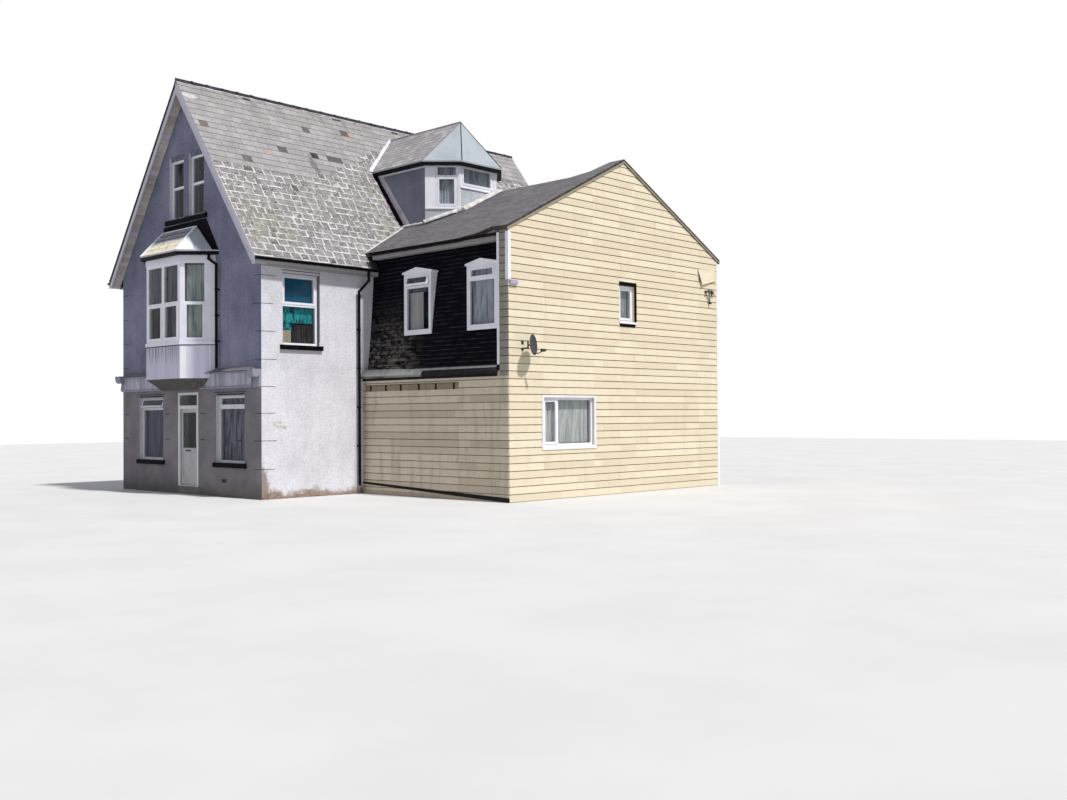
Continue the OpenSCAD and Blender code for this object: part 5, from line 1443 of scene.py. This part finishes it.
# A length of a ribbon: its corners are four along each end and four under its edges
RIBBON_FACES = ((0, 1, 5, 4), (1, 2, 6, 5), (2, 3, 7, 6), (8, 11, 10, 9), (0, 4, 11, 8),
                (3, 9, 10, 7), (8, 9, 3, 2, 1, 0), (11, 4, 5, 6, 7, 10))


def ribbon(shape, start, end, across, width, high=0.02, bumps=0.012):
    """A ragged fillet of mortar or lead along a line, lying across the given direction."""
    across = Vector(across).normalized()
    up = (end - start).cross(across).normalized()
    up = up if up.z > 0 else -up
    steps = max(4, int((end - start).length / 0.12))
    rows = []
    for i in range(steps + 1):
        p = start.lerp(end, i / steps)
        half = width / 2 * rng.uniform(0.75, 1.25)
        rise = high + rng.uniform(-bumps, bumps) * 0.4
        rows.append([p - across * half - up * 0.006, p - across * half * 0.5 + up * rise,
                     p + across * half * 0.5 + up * rise, p + across * half - up * 0.006])
    for a, b in zip(rows, rows[1:]):
        low = [q - up * 0.03 for q in (a[0], a[3], b[3], b[0])]
        shape.facets((*a, *b, *low), RIBBON_FACES)


def valley_point(x):
    """Point where the wing roof meets the main roof over a given x."""
    z = wing_top(x)
    return Vector((x, -(RIDGE_Z - z) / math.tan(PITCH), z))


def roof_fillets():
    """Mortar and lead where the wing and the dormer meet the main roof."""
    mortar, lead, old, dark = Shape(), Shape(), Shape(), Shape()
    sides = [(side, DORMER_X + side * DORMER_HW) for side in (-1, 1)]
    for side, cheek in sides:
        edge = WING_MID + side * (WING_MID - WING_EDGE_X)
        ribbon(mortar, valley_point(edge), valley_point(cheek), (-side, 0, 0), 0.12)
    dormer_foot_mortar(mortar)
    for side, cheek in sides:
        dormer_cheek_joint(mortar, old, dark, side, cheek)
    for side in (-1, 1):
        eave = Vector((DORMER_X + side * 1.5, roof_y(DORMER_EAVE_Z), DORMER_EAVE_Z))
        peak = Vector((DORMER_X, roof_y(DORMER_PEAK_Z), DORMER_PEAK_Z))
        ribbon(lead, eave, peak, (1, 0, 0), 0.2)
    lead.make("dormer_lead", "pale_lead", "lead")
    old.make("dormer_cheek_lead", "cheek_lead", "lead")
    dark.make("dormer_cheek_gap", "tar", "lead")
    mortar.make("roof_mortar", "mortar", "slates")


def on_wing(x, y):
    """A point on the top of the wing's roof."""
    return Vector((x, y, wing_top(x)))


def dormer_foot_mortar(mortar):
    """Mortar on the wing's slates along the foot of the dormer's front."""
    left, right = DORMER_X - DORMER_HW, DORMER_X + DORMER_HW
    near, front_y = SIDE_Y - 0.03, SIDE_Y - DORMER_OUT
    out, ahead = Vector((-0.06, 0, 0)), Vector((-0.02, -0.08, 0))
    corner = on_wing(left + DORMER_OUT, front_y)
    ribbon(mortar, on_wing(left, near) + out, corner + ahead, (HALF, HALF, 0), 0.34, 0.07)
    ribbon(mortar, corner + ahead + Vector((0, -0.02, 0)), on_wing(WING_MID, front_y - 0.1),
           (0, 1, 0), 0.34, 0.07)
    ribbon(mortar, on_wing(right - DORMER_OUT, front_y), on_wing(right, near), (HALF, -HALF, 0),
           0.16, 0.04)


def dormer_cheek_joint(mortar, old, dark, side, x):
    """Dark gap and lead band where a cheek meets the main roof, and mortar along its foot."""
    base = valley_point(x)
    top = Vector((x, roof_y(DORMER_TOP_Z), DORMER_TOP_Z))
    out = Vector((side * 0.08, 0, 0))
    ribbon(dark, base + out, top + out, (1, 0, 0), 0.2, 0.014)
    wide = 0.2 / math.sin(PITCH)
    a, b = (base.y - 0.02, base.z - 0.02), (top.y, top.z - 0.06)
    band = [a, (a[0] - wide, a[1]), (b[0] - wide, b[1]), b]
    add_cell(old, Plane((x, 0, 0), (0, side, 0), UP), [(side * y, z) for y, z in band], 0.008)
    start, end = Vector(base), on_wing(x, SIDE_Y - 0.02)
    for point in (start, end):
        point.x += side * 0.04
    ribbon(mortar, start, end, (1, 0, 0), 0.16, 0.03)


def ridge_joints():
    """Collars over the joints of the ridge tiles and their mortar bed."""
    collars, bed = Shape(), Shape()
    start, end = FRONT_X - VERGE, REAR_X + VERGE
    x = start + 0.45
    while x < end - 0.2:
        z = RIDGE_Z + 0.036 + rng.uniform(-0.004, 0.004)
        collars.tube([Vector((x - 0.03, 0, z)), Vector((x + 0.03, 0, z))], 0.031, 10)
        x += rng.uniform(0.42, 0.48)
    collars.make("ridge_collars", "ridge", "ridge_clay", smooth=True)
    for side in (-1, 1):
        down = down_slope(side)
        ends = [Vector((x, 0, RIDGE_Z)) + down * 0.078 for x in (start, end)]
        ribbon(bed, *ends, down, 0.045, 0.022, 0.02)
    bed.make("ridge_bed", "mortar", "slates")


def dormer_points(over, z):
    """Corners of the dormer's front at a height, moved out by over. Its flanks stay in line."""
    flat = DORMER_HW - DORMER_OUT + over * MITRE
    local = ((-DORMER_HW - over, -over * MITRE), (-flat, -DORMER_OUT - over),
             (flat, -DORMER_OUT - over), (DORMER_HW + over, -over * MITRE))
    return [Vector((DORMER_X + x, SIDE_Y + y, z)) for x, y in local]


def dress_dormer():
    """Slates on the dormer's side slopes, and the rolls and dark joints on its hips."""
    slates, rolls, joints = Shape(), Shape(), Shape()
    eave = dormer_points(0.15, DORMER_EAVE_Z)
    peak = Vector((DORMER_X, SIDE_Y + 0.03, DORMER_PEAK_Z))
    for side, corner in ((-1, eave[0]), (1, eave[3])):
        apex = peak + Vector((side * 0.005, 0, 0))
        back_low = Vector((corner.x, roof_y(DORMER_EAVE_Z), DORMER_EAVE_Z))
        back_top = Vector((apex.x, roof_y(DORMER_PEAK_Z), DORMER_PEAK_Z))
        down = back_low - Vector((apex.x, back_low.y, DORMER_PEAK_Z))
        plane = Plane((apex.x, 0, DORMER_PEAK_Z), (0, side, 0), down)
        region = counterclockwise([plane.uv(p) for p in (apex, corner, back_low, back_top)])
        us, vs = zip(*region)
        lay_slates(slates, plane, (min(us), max(us)), (0.0, max(vs)), (0.22, 0.17), (0.006, 0.003),
                   0.009, region=region, tint=lambda u, v: rng.uniform(0.1, 0.8))
        rolls.tube([corner + UP * 0.006, apex], 0.018)
    slates.make("dormer_slates", "slates", "slates")
    for corner in eave[1:3]:
        joints.tube([corner + UP * 0.004, peak], 0.012)
    joints.make("dormer_joints", "tar", "lead")
    rolls.tube([peak, Vector((DORMER_X, roof_y(DORMER_PEAK_Z), DORMER_PEAK_Z))], 0.03)
    rolls.make("dormer_rolls", "old_lead", "lead")


def dormer_panels():
    """White boards beside the dormer's windows, its sills and the band under its eaves."""
    panels, low, head = Shape(), 7.4, 8.5
    corners = dormer_points(0.0, 0.0)
    (left, a), (front, b), (right, _) = facet_planes([p.xy for p in corners], 0.0)
    for plane, u0, u1, v0, v1, proud in (
            (left, 0.0, 0.262, low, head, 0.012), (left, a - 0.055, a, low, head, 0.012),
            (left, 0.0, a, low - 0.04, low, 0.03), (front, 0.0, 0.02, low, head, 0.012),
            (front, b - 0.11, b, 7.98, head, 0.012), (front, 0.0, b, 7.925, DORMER_SILL_Z, 0.03),
            (right, 0.0, 0.26, 7.98, head, 0.012)):
        add_cell(panels, plane, rect(u0, u1, v0, v1), proud)
    back = Vector((corners[0].x, -1.42, 0))
    for plane, length in facet_planes([p.xy for p in (back, *corners)], 0.0):
        add_cell(panels, plane, rect(0.0, length, head - 0.04, head), 0.03)
    panels.make("dormer_panels", "white", "white_upvc", bevel=0.003)


# Cable bracket on the gable: the ends of its bars, and its fixings
BRACKET_BARS = (((4.72, 5.18), (5.05, 5.22)), ((4.9, 5.24), (4.9, 4.86)),
                ((4.72, 5.18), (4.9, 4.88)), ((4.86, 5.24), (5.12, 5.1)),
                ((5.0, 5.26), (5.0, 5.05)))
BRACKET_FIXINGS = ((5.02, 5.17), (4.72, 5.18), (4.9, 4.88))


def gable_fittings():
    """Cable bracket and small box on the wing's gable."""
    box, iron = Shape(), Shape()
    box.box((-2.74, WING_Y - 0.07, 4.79), (-2.5, WING_Y - 0.018, 4.88))
    box.make("gable_box", "lilac", "painted_board", bevel=0.006)
    for a, b in BRACKET_BARS:
        iron.tube([GABLE.spot(*a, 0.03), GABLE.spot(*b, 0.05)], 0.011, 8)
    for spot in BRACKET_FIXINGS:
        iron.tube([GABLE.spot(*spot, 0.015), GABLE.spot(*spot, 0.09)], 0.026, 10)
    iron.make("cable_bracket", "dish", "dish_metal")


def dish_arm():
    """Arm and head that stand before the dish."""
    turn, tip = math.radians(24), math.radians(5)
    look = Vector((math.sin(turn) * math.cos(tip), -math.cos(turn) * math.cos(tip), math.sin(tip)))
    centre = Vector((WING_X0 + 0.43, WING_Y - 0.18, 3.45)) + look * 0.14
    foot = centre + Vector((0, 0, -0.2))
    head = centre + look * 0.26 + Vector((0, 0, -0.15))
    arm = Shape()
    arm.tube([foot, foot + look * 0.1, head], 0.01, 8)
    arm.tube([head + look * 0.02, head - look * 0.06], 0.028, 12)
    arm.tube([head - look * 0.02, head - look * 0.1 + Vector((0, 0, 0.01))], 0.034, 12)
    arm.make("dish_arm", "dish", "dish_metal", smooth=True)


def ledge_covers():
    """Bent sheet on the ledge, thick along its first half and thin along the rest."""
    shape, dark = Shape(), Shape()
    for y0, y1, thick, reach, lift in ((-3.34, -5.6, 0.03, 1.1, 0.02),
                                       (-5.6, -8.06, 0.012, 0.42, 0.0)):
        x, z = WING_X0 - 0.09 * reach, WING_FOOT_Z + 0.013 - 0.13 * reach
        wall_x, wall_z = WING_X0 - 0.002, WING_FOOT_Z + 0.005
        loop = [(wall_x, wall_z + 0.005), (x, z), (x, z - thick), (wall_x, wall_z - thick)]
        shape.prism([Vector((x, y0, z + lift)) for x, z in loop],
                    [Vector((x, y1, z)) for x, z in loop])
    shape.make("ledge_sheet", "old_sheet", "lead", bevel=0.003)
    add_cell(dark, wing_side_plane(-1, False), rect(3.34, 8.05, WING_LOW_Z, 2.86), 0.03)
    dark.make("ledge_shadow", "dark", "black_boards")


def dress_fascia():
    """Upright boards of the shop's fascia on both sides of the bay, and the slates over them."""
    boards, cover = Shape(), Shape()
    plane = Plane((FRONT_X - 0.1, 0, 0), (0, -1, 0), UP)
    console, bay_clear = 0.262, 1.18
    for span in ((-FAR_Y + console, -BAY_Y - bay_clear), (-BAY_Y + bay_clear, -SIDE_Y - console)):
        strips(boards, plane, span, (FASCIA_Z, 2.955), 0.095, 0.006, 0.005)
    boards.make("fascia_boards", "board", "painted_board")
    (x0, z0), (x1, z1) = (FRONT_X - 0.003, 3.085), (FRONT_X - 0.195, 2.985)
    for y, last in ((FAR_Y - console, BAY_Y + 1.44), (BAY_Y - 1.44, SIDE_Y + console)):
        while y > last + 0.02:
            e = max(last, y - rng.uniform(0.35, 0.55))
            loop = [Vector(p) for p in ((x0, y, z0), (x0, e + 0.006, z0), (x1, e + 0.006, z1),
                                        (x1, y, z1))]
            up = Vector((-0.004, 0, rng.uniform(0.006, 0.014)))
            lay_sheet(cover, loop, up, 1.0, 0.2, rng.random())
            y = e
    cover.make("fascia_slates", "wing_slates", "wing_slates")


def shop_details():
    """Shadow lines at the heads of the shop windows, and the door's letter plate and handle."""
    heads, metal = Shape(), Shape()
    for off, width, _ in SHOP_WINDOWS.values():
        y0, y1, z = SIDE_Y + off, SIDE_Y + off + width, sum(LOW)
        heads.box((FRONT_X + 0.002, y0 + 0.002, z - 0.03), (FRONT_X + 0.085, y1 - 0.002, z - 0.001))
        heads.box((FRONT_X - 0.012, y0 - 0.07, z + 0.03), (FRONT_X + 0.001, y1 + 0.07, z + 0.042))
    heads.make("shop_window_heads", "dark", "front_render")
    leaf_x, handle_y, handle_z = FRONT_X + 0.042, -0.4, 1.2
    metal.box((FRONT_X + 0.03, -0.13, 1.06), (leaf_x, 0.13, 1.1))
    metal.tube([Vector((leaf_x, handle_y, handle_z)), Vector((FRONT_X - 0.01, handle_y, handle_z)),
                Vector((FRONT_X - 0.015, handle_y + 0.11, handle_z))], 0.009)
    metal.make("door_furniture", "dish", "dish_metal", body="front_door")


# Light, floor and camera
def stage():
    """A pale matt floor, just under the building's foot."""
    floor = bpy.data.meshes.new("floor")
    reach = 60.0
    floor.from_pydata([(x, y, 0) for x, y in rect(-reach, reach, -reach, reach)], [],
                      [(0, 1, 2, 3)])
    p = Paint("studio_floor", 0.9)
    grain = p.fade(p.noise(0.5), 0.3, 0.7)
    floor.materials.append(p.finish(p.mix(grain, rgb(206, 206, 206), rgb(212, 212, 212))))
    ground = add_object("floor", floor)
    ground.location.z = -0.002


SUN_POWER, SUN_HEIGHT, SUN_TURN = 3.65, 56, 3
AMBIENT = (0.36, 0.37, 0.41, 1.0)


def light():
    """One soft key light, under a world that is pale to the camera and dimmer to the object."""
    sun = bpy.data.lights.new("key", "SUN")
    sun.energy = SUN_POWER
    sun.angle = math.radians(4)
    sun.color = (1.0, 0.98, 0.95)
    lamp = add_object("key", sun)
    h, t = math.radians(SUN_HEIGHT), math.radians(SUN_TURN)
    to_sun = Vector((math.sin(t) * math.cos(h), -math.cos(t) * math.cos(h), math.sin(h)))
    lamp.rotation_euler = to_sun.to_track_quat("Z", "Y").to_euler()
    world = bpy.data.worlds.new("studio")
    world.use_nodes = True
    bpy.context.scene.world = world
    world_nodes(world.node_tree)


def world_nodes(tree):
    """White for the camera, for gloss and through glass, the ambient light for all else."""
    tree.nodes.clear()
    path = tree.nodes.new("ShaderNodeLightPath")
    seen = path.outputs["Is Camera Ray"]
    for ray in ("Is Glossy Ray", "Is Transmission Ray"):
        either = tree.nodes.new("ShaderNodeMath")
        either.operation = "MAXIMUM"
        tree.links.new(seen, either.inputs[0])
        tree.links.new(path.outputs[ray], either.inputs[1])
        seen = either.outputs[0]
    mix = tree.nodes.new("ShaderNodeMix")
    mix.data_type = "RGBA"
    tree.links.new(seen, mix.inputs[0])
    mix.inputs[6].default_value = AMBIENT
    mix.inputs[7].default_value = (1.0, 1.0, 1.0, 1.0)
    shine = tree.nodes.new("ShaderNodeBackground")
    tree.links.new(mix.outputs[2], shine.inputs["Color"])
    out = tree.nodes.new("ShaderNodeOutputWorld")
    tree.links.new(shine.outputs[0], out.inputs["Surface"])


# The camera as solved from the photograph: its place, its axes and its lens in millimetres
EYE = (-20.296, -25.65, 1.897)
RIGHT = Vector((0.68530, -0.72828, -0.00624))
DOWN = Vector((0.00597, 0.01419, -0.99988))
AHEAD = Vector((0.72829, 0.68518, 0.01406))
LENS, SENSOR = 38.01, 36.0


def camera():
    """The photograph's view."""
    lens = bpy.data.cameras.new("camera")
    lens.lens = LENS
    lens.sensor_width = SENSOR
    lens.sensor_fit = "HORIZONTAL"
    lens.clip_end = 200.0
    eye = add_object("camera", lens)
    turn = Matrix((RIGHT, -DOWN, -AHEAD)).transposed().to_4x4()
    eye.matrix_world = Matrix.Translation(EYE) @ turn
    bpy.context.scene.camera = eye


camera()
stage()
light()
bpy.context.scene.view_settings.view_transform = "Standard"
dress_nodes()
main_slates()
wing_slates()
gable_boards()
low_boards(-1, "low_boards_left")
lost_band()
low_boards(1, "low_boards_right")
upper_boards(-1, "shiplap_left")
upper_boards(1, "shiplap_right")
for row in house_windows():
    hang_curtains(*row)
dress_bay()
bay_under_boards()
dress_bay_roof()
bay_flashing()
dress_soffits()
wall_marks()
trims()
paint_reveal_shade()
roof_fillets()
ridge_joints()
dress_dormer()
dormer_panels()
gable_fittings()
dish_arm()
ledge_covers()
dress_fascia()
shop_details()
